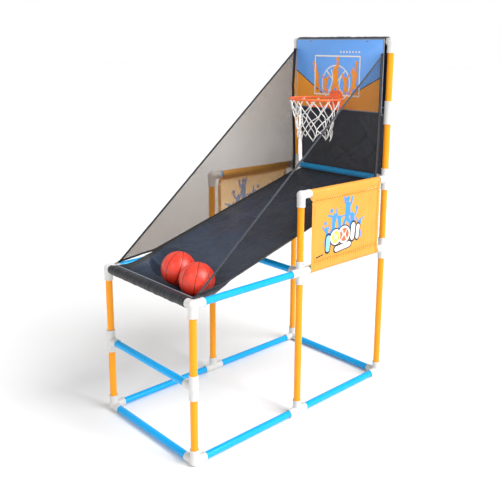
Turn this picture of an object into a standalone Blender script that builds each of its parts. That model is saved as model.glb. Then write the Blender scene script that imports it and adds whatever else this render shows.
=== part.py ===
"""Children's arcade basketball machine.

A push-fit tube frame carries a sewn cloth cover with a ball tray, ramp and back, two side nets, two side
panels, a backboard with a hoop, and two loose balls.
Metres, +Z up, +X to the player's right, -Y towards the player. The origin lies on the floor under the
centre of the frame.
"""
import math

import bmesh
import bpy
from mathutils import Matrix, Vector

# Frame: distances between tube axes
POST_X = 0.250
POST_Y = 0.483
FLOOR_Z = 0.0158
FRONT_RAIL_Z = 0.280
DECK_Z = 0.561
PANEL_Z = 0.846
COUPLER_Z = 1.110
TOP_Z = 1.3815

# Tubes and the sockets that hold them
TUBE_R = 0.0125
TUBE_WALL = 0.0016
SOCKET_R = 0.0155
SOCKET_REACH = 0.043
COUPLER_REACH = 0.045
TUBE_START = 0.0158
GAP = 0.0003
ARM_ROOT = 0.0100
CORE_HALF = 0.0158
CORE_BEVEL = 0.005
SOCKET_FLOOR = 0.0152
CUT_PAST = 0.010
MERGE_DISTANCE = 0.000002
SIDES_ROUND = 12

# Sewn cover
CLOTH = 0.002
SLEEVE_R = 0.0187
RAMP_HALF_WIDTH = 0.222
BACK_HALF_WIDTH = 0.226
SEAM_Y = -0.4625
SEAM_Z = 0.570
TRAY_REAR_Y = -0.320
TRAY_REAR_Z = 0.5905
POCKET_END_Y = -0.250
POCKET_DEPTH = 0.043
POCKET_TILT = 0.20

# Side nets and side panels
NET_X = 0.2325
NET_THICKNESS = 0.0016
NET_OUTLINE = [(-0.452, 0.580), (-0.320, 0.595), (0.458, 0.824), (0.458, 1.100), (0.456, 1.336)]
PANEL_FRONT_Y = 0.0465
PANEL_REAR_Y = 0.4365
PANEL_SLEEVE_R = 0.0140
PANEL_CLOTH = 0.0012

# Backboard
BOARD_HALF_WIDTH = 0.234
BOARD_FRONT_Y = 0.4597
BOARD_THICKNESS = 0.003
BOARD_BOTTOM_Z = 1.107
BOARD_TOP_Z = 1.392

# Hoop
RING_Y = 0.334
RING_Z = 1.155
RING_R = 0.1025
RING_WIRE_R = 0.0045
PLATE_THICKNESS = 0.004
PLATE_OUTLINE = [(0.023, 1.184), (0.032, 1.172), (0.034, 1.158), (0.034, 1.138), (0.028, 1.103)]
BRACE_ANGLE = 35.0
BRACE_Z = 1.117
NET_WALL = 0.0024
HOOP_NET_PROFILE = [(0.0985, 1.1500), (0.0915, 1.115), (0.0800, 1.070), (0.0690, 1.025), (0.0700, 0.990)]

# Balls
BALL_R = 0.060
BALL_WALL = 0.0022
VALVE_R = 0.0012
FRONT_BALL = (0.156, -0.392, 0.5985)
REAR_BALL = (0.028, -0.3735, 0.603)

AXES = {"X": Vector((1, 0, 0)), "Y": Vector((0, 1, 0)), "Z": Vector((0, 0, 1))}
SIDES = {"left": -1, "right": 1}


def clear_scene():
    for item in list(bpy.data.objects):
        bpy.data.objects.remove(item, do_unlink=True)


def finish(name, colour, roughness, metallic=0.0):
    """A Principled material."""
    material = bpy.data.materials.new(name)
    material.use_nodes = True
    shader = material.node_tree.nodes["Principled BSDF"]
    shader.inputs["Base Color"].default_value = (*colour, 1.0)
    shader.inputs["Roughness"].default_value = roughness
    shader.inputs["Metallic"].default_value = metallic
    return material


def mesh_object(name, mesh, material=None, location=(0, 0, 0)):
    part = bpy.data.objects.new(name, mesh)
    bpy.context.collection.objects.link(part)
    part.location = location
    if material:
        mesh.materials.clear()
        mesh.materials.append(material)
    return part


def mesh_from(name, work, smooth_below=None):
    """Turns a bmesh into a mesh, shaded smooth where its faces meet at less than the given angle."""
    bmesh.ops.recalc_face_normals(work, faces=work.faces)
    mesh = bpy.data.meshes.new(name)
    work.to_mesh(mesh)
    work.free()
    if smooth_below:
        mesh.shade_smooth()
        mesh.set_sharp_from_angle(angle=math.radians(smooth_below))
    return mesh


def turned_mesh(name, profile, sides, closed=True):
    """Turns a profile of (radius, z) about Z; a closed profile makes a ring, an open one ends on the axis."""
    work = bmesh.new()
    rings = []
    for radius, height in profile:
        if radius < 1e-7:
            rings.append([work.verts.new((0, 0, height))])
            continue
        ring = []
        for step in range(sides):
            angle = math.tau * (step + 0.5) / sides
            ring.append(work.verts.new((radius * math.cos(angle), radius * math.sin(angle), height)))
        rings.append(ring)
    pairs = list(zip(rings, rings[1:]))
    if closed:
        pairs.append((rings[-1], rings[0]))
    for low, high in pairs:
        if len(low) == len(high) == 1:
            continue
        for step in range(sides):
            after = (step + 1) % sides
            corners = [low[step % len(low)], low[after % len(low)], high[after % len(high)], high[step % len(high)]]
            unique = list(dict.fromkeys(corners))
            work.faces.new(unique)
    return mesh_from(name, work, smooth_below=35)


def prism(radius, start, end, sides=SIDES_ROUND):
    """A cylinder between two points, turned so that its lowest facet lies flat."""
    start = Vector(start)
    end = Vector(end)
    work = bmesh.new()
    turn = Matrix.Rotation(math.pi / sides, 4, "Z")
    aim = (end - start).to_track_quat("Z", "Y").to_matrix().to_4x4()
    place = Matrix.Translation((start + end) / 2) @ aim @ turn
    length = (end - start).length
    bmesh.ops.create_cone(
        work, cap_ends=True, segments=sides, radius1=radius, radius2=radius, depth=length, matrix=place
    )
    return mesh_from("prism", work)


def joined_mesh(name, solids, cuts=(), smooth_below=35):
    """Unites solids, then cuts the given meshes out, and returns the result as one mesh."""
    base = mesh_object(name, solids[0])
    helpers = []
    steps = [(mesh, "UNION") for mesh in solids[1:]]
    steps += [(mesh, "DIFFERENCE") for mesh in cuts]
    for mesh, operation in steps:
        helper = mesh_object("helper", mesh)
        helpers.append(helper)
        modifier = base.modifiers.new(operation.lower(), "BOOLEAN")
        modifier.operation = operation
        modifier.solver = "EXACT"
        modifier.object = helper
    shapes = bpy.context.evaluated_depsgraph_get()
    result = bpy.data.meshes.new_from_object(base.evaluated_get(shapes))
    result.name = name
    for item in [base, *helpers]:
        bpy.data.objects.remove(item, do_unlink=True)
    tidy = bmesh.new()
    tidy.from_mesh(result)
    bmesh.ops.remove_doubles(tidy, verts=tidy.verts, dist=MERGE_DISTANCE)
    tidy.to_mesh(result)
    tidy.free()
    result.shade_smooth()
    result.set_sharp_from_angle(angle=math.radians(smooth_below))
    return result


def connector_mesh(name, arms, glued_length=0.0):
    """A moulded connector with a blind socket on each arm, such as "+X" or "-Z".

    With a glued_length, its +X or +Y arm has a tube of that length fixed in it for good.
    """
    core = bmesh.new()
    bmesh.ops.create_cube(core, size=2 * CORE_HALF)
    bmesh.ops.bevel(core, geom=core.edges, offset=CORE_BEVEL, segments=1, affect="EDGES")
    solids = [mesh_from("core", core)]
    cuts = []
    socket_bore = (TUBE_R + GAP) / math.cos(math.pi / SIDES_ROUND)
    for arm in arms:
        unit = AXES[arm[1]] * (1 if arm[0] == "+" else -1)
        solids.append(prism(SOCKET_R, unit * ARM_ROOT, unit * SOCKET_REACH))
        if glued_length and arm in ("+X", "+Y"):
            solids.append(prism(TUBE_R, unit * CORE_HALF, unit * glued_length))
            cuts.append(prism(TUBE_R - TUBE_WALL, unit * TUBE_START, unit * (glued_length + CUT_PAST)))
            glued_length = 0.0
        else:
            cuts.append(prism(socket_bore, unit * SOCKET_FLOOR, unit * (SOCKET_REACH + CUT_PAST)))
    return joined_mesh(name, solids, cuts)


def tube(name, start, end, material, start_gap=TUBE_START, end_gap=TUBE_START):
    """A hollow tube between two crossings of axes, stopping short of both."""
    start = Vector(start)
    end = Vector(end)
    along = (end - start).normalized()
    length = (end - start).length - start_gap - end_gap
    inner = TUBE_R - TUBE_WALL
    profile = [(inner, 0), (TUBE_R, 0), (TUBE_R, length), (inner, length)]
    part = mesh_object(name, turned_mesh(name, profile, SIDES_ROUND), material, start + along * start_gap)
    part.rotation_euler = along.to_track_quat("Z", "Y").to_euler()
    return part


def place_connector(name, mesh, location, turn=0.0, material=None):
    part = mesh_object(name, mesh, None, location)
    part.rotation_euler = (0, 0, math.radians(turn))
    if not mesh.materials:
        mesh.materials.append(material)
    return part


def build_bottom(blue, white):
    """The rectangle of rails on the floor with its corners and tees."""
    corner = connector_mesh("bottom_corner", ["+X", "+Y", "+Z"])
    tee = connector_mesh("bottom_tee", ["+Y", "-Y", "+Z"])
    for row, y in (("front", -POST_Y), ("rear", POST_Y)):
        tube(f"{row}_bottom_rail", (-POST_X, y, FLOOR_Z), (POST_X, y, FLOOR_Z), blue)
    turns = {("left", "front"): 0, ("right", "front"): 90, ("right", "rear"): 180, ("left", "rear"): 270}
    for side, sign in SIDES.items():
        x = sign * POST_X
        tube(f"{side}_bottom_rail_front", (x, -POST_Y, FLOOR_Z), (x, 0, FLOOR_Z), blue)
        tube(f"{side}_bottom_rail_rear", (x, 0, FLOOR_Z), (x, POST_Y, FLOOR_Z), blue)
        place_connector(f"{side}_bottom_tee", tee, (x, 0, FLOOR_Z), 0, white)
        for row, y in (("front", -POST_Y), ("rear", POST_Y)):
            turn = turns[side, row]
            place_connector(f"{row}_{side}_bottom_corner", corner, (x, y, FLOOR_Z), turn, white)


def build_front(orange, blue, white):
    """Front posts, the rail between them and the bar that carries the cloth's front sleeve."""
    tee = connector_mesh("front_tee", ["+X", "+Z", "-Z"])
    for side, sign in SIDES.items():
        x = sign * POST_X
        y = -POST_Y
        tube(f"{side}_front_post_lower", (x, y, FLOOR_Z), (x, y, FRONT_RAIL_Z), orange)
        tube(f"{side}_front_post_upper", (x, y, FRONT_RAIL_Z), (x, y, DECK_Z), orange)
        place_connector(f"{side}_front_tee", tee, (x, y, FRONT_RAIL_Z), 0 if sign < 0 else 180, white)
        tube(f"{side}_deck_rail", (x, y, DECK_Z), (x, 0, DECK_Z), blue)
    tube("front_mid_rail", (-POST_X, -POST_Y, FRONT_RAIL_Z), (POST_X, -POST_Y, FRONT_RAIL_Z), blue)
    bar_length = 2 * POST_X - TUBE_START
    bar = connector_mesh("front_top_bar", ["+X", "+Y", "-Z"], bar_length)
    place_connector("front_top_bar", bar, (-POST_X, -POST_Y, DECK_Z), 0, white)
    corner = connector_mesh("front_top_corner", ["-X", "+Y", "-Z"])
    place_connector("right_front_top_corner", corner, (POST_X, -POST_Y, DECK_Z), 0, white)


def build_middle(orange, blue, white):
    """Middle posts, their five-way crosses, the cross rail and the bars above the side panels."""
    cross = connector_mesh("middle_cross", ["+X", "+Y", "-Y", "+Z", "-Z"])
    bar_length = POST_Y - TUBE_START
    bar = connector_mesh("panel_top_bar", ["+Y", "-Z"], bar_length)
    for side, sign in SIDES.items():
        x = sign * POST_X
        tube(f"{side}_middle_post_lower", (x, 0, FLOOR_Z), (x, 0, DECK_Z), orange)
        tube(f"{side}_middle_post_upper", (x, 0, DECK_Z), (x, 0, PANEL_Z), orange)
        tube(f"{side}_panel_bottom_tube", (x, 0, DECK_Z), (x, POST_Y, DECK_Z), blue)
        place_connector(f"{side}_middle_cross", cross, (x, 0, DECK_Z), 0 if sign < 0 else 180, white)
        place_connector(f"{side}_panel_top_bar", bar, (x, 0, PANEL_Z), 0, white)
    tube("middle_cross_rail", (-POST_X, 0, DECK_Z), (POST_X, 0, DECK_Z), blue)


def build_rear(orange, blue, white):
    """Rear posts and masts, the rail at the foot of the back cloth and the top bar."""
    tee = connector_mesh("rear_tee", ["-Y", "+Z", "-Z"])
    cross = connector_mesh("rear_cross", ["+X", "-Y", "+Z", "-Z"])
    y = POST_Y
    mast_end = TOP_Z - COUPLER_Z - TUBE_START
    inner = TUBE_R - TUBE_WALL
    bore = (TUBE_R + GAP) / math.cos(math.pi / SIDES_ROUND)
    mast_profile = [
        (bore, -COUPLER_REACH),
        (SOCKET_R, -COUPLER_REACH),
        (SOCKET_R, COUPLER_REACH),
        (TUBE_R, COUPLER_REACH),
        (TUBE_R, mast_end),
        (inner, mast_end),
        (inner, 0),
        (bore, 0),
    ]
    for side, sign in SIDES.items():
        x = sign * POST_X
        tube(f"{side}_rear_post_lower", (x, y, FLOOR_Z), (x, y, DECK_Z), orange)
        tube(f"{side}_rear_post_upper", (x, y, DECK_Z), (x, y, PANEL_Z), orange)
        tube(f"{side}_mast_lower", (x, y, PANEL_Z), (x, y, COUPLER_Z), orange, end_gap=GAP)
        place_connector(f"{side}_rear_tee", tee, (x, y, DECK_Z), 0, white)
        place_connector(f"{side}_rear_cross", cross, (x, y, PANEL_Z), 0 if sign < 0 else 270, white)
        mast = turned_mesh(f"{side}_mast_upper", mast_profile, SIDES_ROUND)
        mesh_object(f"{side}_mast_upper", mast, orange, (x, y, COUPLER_Z))
    tube("rear_cross_rail", (-POST_X, y, PANEL_Z), (POST_X, y, PANEL_Z), blue)
    bar = connector_mesh("top_bar", ["+X", "-Z"], 2 * POST_X - TUBE_START)
    place_connector("top_bar", bar, (-POST_X, y, TOP_Z), 0, white)
    elbow = connector_mesh("top_right_elbow", ["-X", "-Z"])
    place_connector("top_right_elbow", elbow, (POST_X, y, TOP_Z), 0, white)


def arc(centre, radius, first, last, steps):
    """Points on a circle in (y, z), angles in degrees from +Y towards +Z."""
    points = []
    for step in range(steps + 1):
        angle = math.radians(first + (last - first) * step / steps)
        points.append((centre[0] + radius * math.cos(angle), centre[1] + radius * math.sin(angle)))
    return points


def smooth_step(t):
    t = min(max(t, 0.0), 1.0)
    return t * t * (3 - 2 * t)


def pocket_depth(u, y):
    """How far the tray hangs below its taut side edges; u runs from -1 to 1 across the cloth."""
    if not SEAM_Y < y < POCKET_END_Y:
        return 0.0
    t = (y - SEAM_Y) / (POCKET_END_Y - SEAM_Y)
    along = smooth_step(t / 0.25) * smooth_step((1 - t) / 0.50)
    return POCKET_DEPTH * (1 + POCKET_TILT * u) * along * (1 - abs(u) ** 10)


def cover_path():
    """The sheet's rows from the front sleeve to the top sleeve, as (y, z, half width)."""
    front = (-POST_Y, DECK_Z)
    rear = (POST_Y, PANEL_Z)
    top = (POST_Y, TOP_Z)
    rows = [(y, z, RAMP_HALF_WIDTH) for y, z in arc(front, SLEEVE_R, 8, -292, 12)]
    rows.append((SEAM_Y, SEAM_Z, RAMP_HALF_WIDTH))
    tray_steps = 8
    for step in range(1, tray_steps + 1):
        y = SEAM_Y + (TRAY_REAR_Y - SEAM_Y) * step / tray_steps
        z = SEAM_Z + (TRAY_REAR_Z - SEAM_Z) * step / tray_steps
        rows.append((y, z, RAMP_HALF_WIDTH))
    slope = math.atan2(PANEL_Z - SLEEVE_R - TRAY_REAR_Z, POST_Y - TRAY_REAR_Y)
    turn = arc(rear, SLEEVE_R, math.degrees(slope) - 90, 0, 4)
    for share in (0.037, 0.075, 0.30):
        y = TRAY_REAR_Y + (turn[0][0] - TRAY_REAR_Y) * share
        z = TRAY_REAR_Z + (turn[0][1] - TRAY_REAR_Z) * share
        rows.append((y, z, RAMP_HALF_WIDTH))
    rows += [(y, z, RAMP_HALF_WIDTH) for y, z in turn]
    rows.append((POST_Y + SLEEVE_R, PANEL_Z + 0.05, BACK_HALF_WIDTH))
    rows += [(y, z, BACK_HALF_WIDTH) for y, z in arc(top, SLEEVE_R, 0, 320, 12)]
    return rows


def build_cover(black):
    """Front sleeve, ball tray, ramp, back cloth and top sleeve in one sewn sheet."""
    across = [-1, -0.93, -0.82, -0.65, -0.4, -0.12, 0.16, 0.42, 0.65, 0.82, 0.93, 1]
    work = bmesh.new()
    grid = []
    for y, z, half_width in cover_path():
        row = [work.verts.new((u * half_width, y, z - pocket_depth(u, y))) for u in across]
        grid.append(row)
    for low, high in zip(grid, grid[1:]):
        for step in range(len(across) - 1):
            work.faces.new((low[step], low[step + 1], high[step + 1], high[step]))
    cover = mesh_object("ball_ramp_cover", mesh_from("ball_ramp_cover", work, 60), black)
    thick = cover.modifiers.new("thickness", "SOLIDIFY")
    thick.thickness = CLOTH
    thick.offset = 0
    return cover


def plate_mesh(name, outline, low, high, axis):
    """A flat plate: an outline in the two other axes, extruded along axis from low to high."""
    work = bmesh.new()
    corners = []
    for a, b in outline:
        place = {"X": (low, a, b), "Y": (a, low, b)}[axis]
        corners.append(work.verts.new(place))
    face = work.faces.new(corners)
    swept = bmesh.ops.extrude_face_region(work, geom=[face])
    moved = [item for item in swept["geom"] if isinstance(item, bmesh.types.BMVert)]
    shift = Vector((high - low, 0, 0)) if axis == "X" else Vector((0, high - low, 0))
    bmesh.ops.translate(work, vec=shift, verts=moved)
    return mesh_from(name, work)


def build_nets(mesh_cloth):
    for side, sign in SIDES.items():
        edges = sorted((sign * (NET_X - NET_THICKNESS / 2), sign * (NET_X + NET_THICKNESS / 2)))
        name = f"{side}_side_net"
        mesh_object(name, plate_mesh(name, NET_OUTLINE, *edges, "X"), mesh_cloth)


def build_panels(orange_cloth):
    """The side panels: one layer on the outside, with a sleeve round the tube above and below."""
    for side, sign in SIDES.items():
        x = sign * POST_X
        top = arc((0, PANEL_Z), PANEL_SLEEVE_R, 240, 0, 10)
        bottom = arc((0, DECK_Z), PANEL_SLEEVE_R, 0, -240, 10)
        work = bmesh.new()
        rows = []
        for out, z in top + bottom:
            ends = (PANEL_FRONT_Y, PANEL_REAR_Y)
            rows.append([work.verts.new((x + sign * out, y, z)) for y in ends])
        for low, high in zip(rows, rows[1:]):
            work.faces.new((low[0], low[1], high[1], high[0]))
        name = f"{side}_side_panel"
        panel = mesh_object(name, mesh_from(name, work, 60), orange_cloth)
        thick = panel.modifiers.new("thickness", "SOLIDIFY")
        thick.thickness = PANEL_CLOTH
        thick.offset = 0


def build_board(print_finish):
    low = (-BOARD_HALF_WIDTH, BOARD_BOTTOM_Z)
    high = (BOARD_HALF_WIDTH, BOARD_TOP_Z)
    outline = [low, (high[0], low[1]), high, (low[0], high[1])]
    rear = BOARD_FRONT_Y + BOARD_THICKNESS
    mesh_object("backboard", plate_mesh("backboard", outline, BOARD_FRONT_Y, rear, "Y"), print_finish)


def strap_mesh(name, path, thickness, height):
    """A bent strap on edge: path holds (x, y, z) of its middle line."""
    work = bmesh.new()
    sections = []
    for index, point in enumerate(path):
        before = Vector(path[max(index - 1, 0)])
        after = Vector(path[min(index + 1, len(path) - 1)])
        along = after - before
        side = Vector((-along.y, along.x, 0)).normalized() * (thickness / 2)
        up = Vector((0, 0, height / 2))
        middle = Vector(point)
        corners = (middle - side - up, middle + side - up, middle + side + up, middle - side + up)
        sections.append([work.verts.new(corner) for corner in corners])
    for low, high in zip(sections, sections[1:]):
        for step in range(4):
            after = (step + 1) % 4
            work.faces.new((low[step], low[after], high[after], high[step]))
    work.faces.new(sections[0])
    work.faces.new(sections[-1])
    return mesh_from(name, work)


def build_rim(coral):
    """The ring, its wall plate, the neck between them and the two braces under the ring."""
    minor_sides = 8
    major_sides = 32
    ring = bmesh.new()
    circles = []
    for step in range(major_sides):
        around = math.tau * step / major_sides
        circle = []
        for turn in range(minor_sides):
            angle = math.tau * (turn + 0.5) / minor_sides
            radius = RING_R + RING_WIRE_R * math.cos(angle)
            height = RING_Z + RING_WIRE_R * math.sin(angle)
            point = (radius * math.cos(around), RING_Y + radius * math.sin(around), height)
            circle.append(ring.verts.new(point))
        circles.append(circle)
    for step in range(major_sides):
        here = circles[step]
        there = circles[(step + 1) % major_sides]
        for turn in range(minor_sides):
            after = (turn + 1) % minor_sides
            ring.faces.new((here[turn], there[turn], there[after], here[after]))
    solids = [mesh_from("ring", ring)]

    outline = PLATE_OUTLINE + [(-x, z) for x, z in reversed(PLATE_OUTLINE)]
    wall_y = BOARD_FRONT_Y - GAP
    solids.append(plate_mesh("plate", outline, wall_y - PLATE_THICKNESS, wall_y, "Y"))

    neck = bmesh.new()
    ring_back = RING_Y + RING_R
    ends = ((ring_back - 0.004, 0.020, 1.1520, 1.1580), (wall_y - 0.002, 0.027, 1.128, 1.174))
    for y, half_width, low, high in ends:
        for x, z in ((-half_width, low), (half_width, low), (half_width, high), (-half_width, high)):
            neck.verts.new((x, y, z))
    bmesh.ops.convex_hull(neck, input=neck.verts)
    solids.append(mesh_from("neck", neck))

    for sign in SIDES.values():
        path = []
        steps = 6
        for step in range(steps + 1):
            share = step / steps
            angle = math.radians(79 + (BRACE_ANGLE - 79) * share)
            radius = 0.1222 + (RING_R - 0.1222) * share
            point = (sign * radius * math.cos(angle), RING_Y + radius * math.sin(angle), BRACE_Z)
            path.append(point)
        solids.append(strap_mesh("brace", path, 0.003, 0.008))
        foot = Vector(path[-1])
        riser = prism(0.0030, foot - Vector((0, 0, 0.0035)), (foot.x, foot.y, RING_Z - 0.001), 8)
        solids.append(riser)
    mesh_object("rim", joined_mesh("rim", solids), coral)


def build_hoop_net(white_cord):
    outer = HOOP_NET_PROFILE
    inner = [(radius - NET_WALL, z) for radius, z in reversed(outer)]
    mesh = turned_mesh("hoop_net", outer + inner, 24)
    mesh_object("hoop_net", mesh, white_cord, (0, RING_Y, 0))


def ball_mesh():
    """A hollow rubber shell with a valve hole at the top."""
    outer_rings = 9
    profile = []
    for radius, order in ((BALL_R, 1), (BALL_R - BALL_WALL, -1)):
        opening = math.asin(VALVE_R / radius)
        shell = []
        for step in range(outer_rings + 1):
            angle = opening + (math.pi - opening) * step / outer_rings
            across = 0.0 if step == outer_rings else radius * math.sin(angle)
            shell.append((across, radius * math.cos(angle)))
        profile += shell[::order]
    return turned_mesh("ball", profile, 18)


def build_balls(rubber):
    mesh = ball_mesh()
    for name, centre, tilt in (("front_ball", FRONT_BALL, (35, 20, 0)), ("rear_ball", REAR_BALL, (-30, 50, 0))):
        ball = mesh_object(name, mesh, None, centre)
        ball.rotation_euler = [math.radians(angle) for angle in tilt]
    mesh.materials.append(rubber)


def build():
    clear_scene()
    orange = finish("orange_tube", (1.0, 0.42, 0.02), 0.35)
    blue = finish("blue_tube", (0.01, 0.48, 0.95), 0.30)
    white = finish("white_connector", (0.85, 0.85, 0.86), 0.35)
    black = finish("black_nylon", (0.035, 0.04, 0.047), 0.6)
    mesh_cloth = finish("black_mesh", (0.05, 0.05, 0.055), 0.8)
    orange_cloth = finish("orange_polyester", (1.0, 0.50, 0.09), 0.65)
    print_finish = finish("printed_board", (0.18, 0.38, 0.80), 0.45)
    coral = finish("coral_plastic", (0.95, 0.17, 0.08), 0.4)
    white_cord = finish("white_cord", (0.88, 0.88, 0.88), 0.8)
    rubber = finish("red_rubber", (0.88, 0.09, 0.04), 0.45)
    build_bottom(blue, white)
    build_front(orange, blue, white)
    build_middle(orange, blue, white)
    build_rear(orange, blue, white)
    build_cover(black)
    build_nets(mesh_cloth)
    build_panels(orange_cloth)
    build_board(print_finish)
    build_rim(coral)
    build_hoop_net(white_cord)
    build_balls(rubber)


build()
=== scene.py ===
"""Looks for the arcade basketball machine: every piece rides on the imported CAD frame.

Metres, +Z up, +X to the player's right, -Y towards the player.
"""

import math
import random

import bmesh
import bpy
import numpy as np
from mathutils import Matrix, Vector, noise
from mathutils.geometry import delaunay_2d_cdt


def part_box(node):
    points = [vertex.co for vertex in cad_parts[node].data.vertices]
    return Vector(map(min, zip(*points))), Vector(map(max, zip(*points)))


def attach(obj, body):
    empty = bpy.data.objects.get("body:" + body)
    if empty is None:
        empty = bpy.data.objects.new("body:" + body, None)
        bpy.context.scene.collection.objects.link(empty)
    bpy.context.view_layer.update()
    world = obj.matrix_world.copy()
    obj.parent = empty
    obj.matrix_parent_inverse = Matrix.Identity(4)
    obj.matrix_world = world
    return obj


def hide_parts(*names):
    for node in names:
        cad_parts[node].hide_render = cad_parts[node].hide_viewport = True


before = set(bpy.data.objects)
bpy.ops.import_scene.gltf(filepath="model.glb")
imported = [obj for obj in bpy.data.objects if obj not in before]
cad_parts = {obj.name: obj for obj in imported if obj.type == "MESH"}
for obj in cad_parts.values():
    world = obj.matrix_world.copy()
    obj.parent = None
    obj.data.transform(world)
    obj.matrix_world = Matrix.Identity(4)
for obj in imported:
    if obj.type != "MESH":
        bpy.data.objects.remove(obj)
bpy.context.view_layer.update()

# Frame, as in the CAD source
POST_X, POST_Y = 0.250, 0.483
FLOOR_Z, FRONT_RAIL_Z, DECK_Z, PANEL_Z, COUPLER_Z, TOP_Z = 0.0158, 0.280, 0.561, 0.846, 1.110, 1.3815
TUBE_R, TUBE_WALL = 0.0125, 0.0016
SOCKET_R, SOCKET_REACH, COUPLER_REACH, CORE_R = 0.0155, 0.043, 0.045, 0.0158

# Sewn cover
SLEEVE_R = 0.0187
RAMP_HALF_WIDTH, BACK_HALF_WIDTH, TOP_HALF_WIDTH = 0.222, 0.226, 0.2345
FRONT_SLEEVE_EXTRA = 0.007
FRONT_SLEEVE_TRIM = 0.0024
SEAM_Y, SEAM_Z = -0.4625, 0.570
TRAY_REAR_Y, TRAY_REAR_Z = -0.320, 0.5905
POCKET_END_Y, POCKET_DEPTH, POCKET_TILT = -0.250, 0.043, 0.20
RAMP_SLOPE = 0.2949
COVER_CLOTH, PANEL_CLOTH, BINDING_WIDTH = 0.0009, 0.0007, 0.011

# Nets, panels, board, hoop and balls
NET_X, NET_STEP = 0.2325, 0.014
FRONT_FOOT = [(-0.452, 0.580), (-0.325, 0.5935), (-0.300, 0.5970)]
NET_OUTLINES = {
    "left": FRONT_FOOT + [(0.456, 0.8195), (0.462, 0.887), (0.458, 0.976), (0.4475, 1.196), (0.456, 1.352)],
    "right": FRONT_FOOT + [(0.452, 0.8185), (0.455, 0.900), (0.458, 1.100), (0.459, 1.336)],
}
PANEL_FRONT_Y, PANEL_REAR_Y, PANEL_SLEEVE_R = 0.0440, 0.4365, 0.0142
PANEL_MIDDLE_Y, PANEL_MIDDLE_Z = (PANEL_FRONT_Y + PANEL_REAR_Y) / 2, (PANEL_Z + DECK_Z) / 2
SLEEVE_SEAM, PRINT_SHIFT = 0.0275, -0.030
BOARD_HALF_WIDTH, BOARD_FRONT_Y, BOARD_THICKNESS = 0.234, 0.4597, 0.003
BOARD_BOTTOM_Z, BOARD_TOP_Z, BOARD_EDGE_WIDTH = 1.107, 1.392, 0.004
RING_Y, RING_Z, RING_R, RING_WIRE_R = 0.334, 1.155, 0.1025, 0.0045
PLATE_OUTLINE = [(0.023, 1.184), (0.032, 1.172), (0.034, 1.158), (0.034, 1.138), (0.028, 1.103)]
NET_LOOPS, NET_CORD_R = 10, 0.0020
NET_LEVELS = [(0.0985, 1.1470), (0.0900, 1.1060), (0.0800, 1.0660), (0.0720, 1.0270), (0.0695, 0.9915)]
BALL_R, GROOVE_HALF = 0.060, 0.0010
FRONT_BALL = Vector((0.156, -0.392, 0.5985))
REAR_BALL = Vector((0.028, -0.3735, 0.603))

# Light and camera
SUN_STRENGTH, SUN_FROM, SUN_SPREAD = 2.85, (0.80, 0.30, 0.85), 38
LAMPS = {"front": ((0.5, -2.5, 2.1), 11), "side": ((2.4, 0.2, 1.9), 14)}
LAMP_SIZE, LAMP_AIM = 0.45, Vector((0, 0, 0.7))
CAMERA_PLACE = (1.8773, -1.7129, 1.3436)
CAMERA_AZIMUTH, CAMERA_ELEVATION, CAMERA_ROLL = -45.55, -12.36, 0.79
CAMERA_LENS, CAMERA_SHIFT = 49.33, (-0.0552, -0.0994)

SIDES = {"left": -1, "right": 1}
AXES = {"X": Vector((1, 0, 0)), "Y": Vector((0, 1, 0)), "Z": Vector((0, 0, 1))}
TINY = 1e-5


def smooth_step(t):
    t = min(max(t, 0.0), 1.0)
    return t * t * (3 - 2 * t)


def mix(a, b, t):
    return a + (b - a) * t


def even(count, first=0.0, last=1.0):
    """count even steps from first to last."""
    return [mix(first, last, k / count) for k in range(count + 1)]


def turns(count, shift=0.0):
    """Angles of count even steps once round."""
    return [math.tau * (k + shift) / count for k in range(count)]


def away(start, radius, degrees):
    """The point radius away from start, at an angle in degrees."""
    angle = math.radians(degrees)
    return start[0] + radius * math.cos(angle), start[1] + radius * math.sin(angle)


def ripple(x, y, z, scale_x, scale_y=None, scale_z=None):
    """Smooth noise from about -1 to 1, its scales in waves a metre."""
    scale_y = scale_x if scale_y is None else scale_y
    return noise.noise(Vector((x * scale_x, y * scale_y, z * (scale_y if scale_z is None else scale_z))))


def srgb(code):
    """A linear colour from a hexadecimal one."""
    values = [int(code[i : i + 2], 16) / 255 for i in (0, 2, 4)]
    return tuple(v / 12.92 if v <= 0.04045 else ((v + 0.055) / 1.055) ** 2.4 for v in values) + (1.0,)


# ---------------------------------------------------------------- materials


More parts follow.
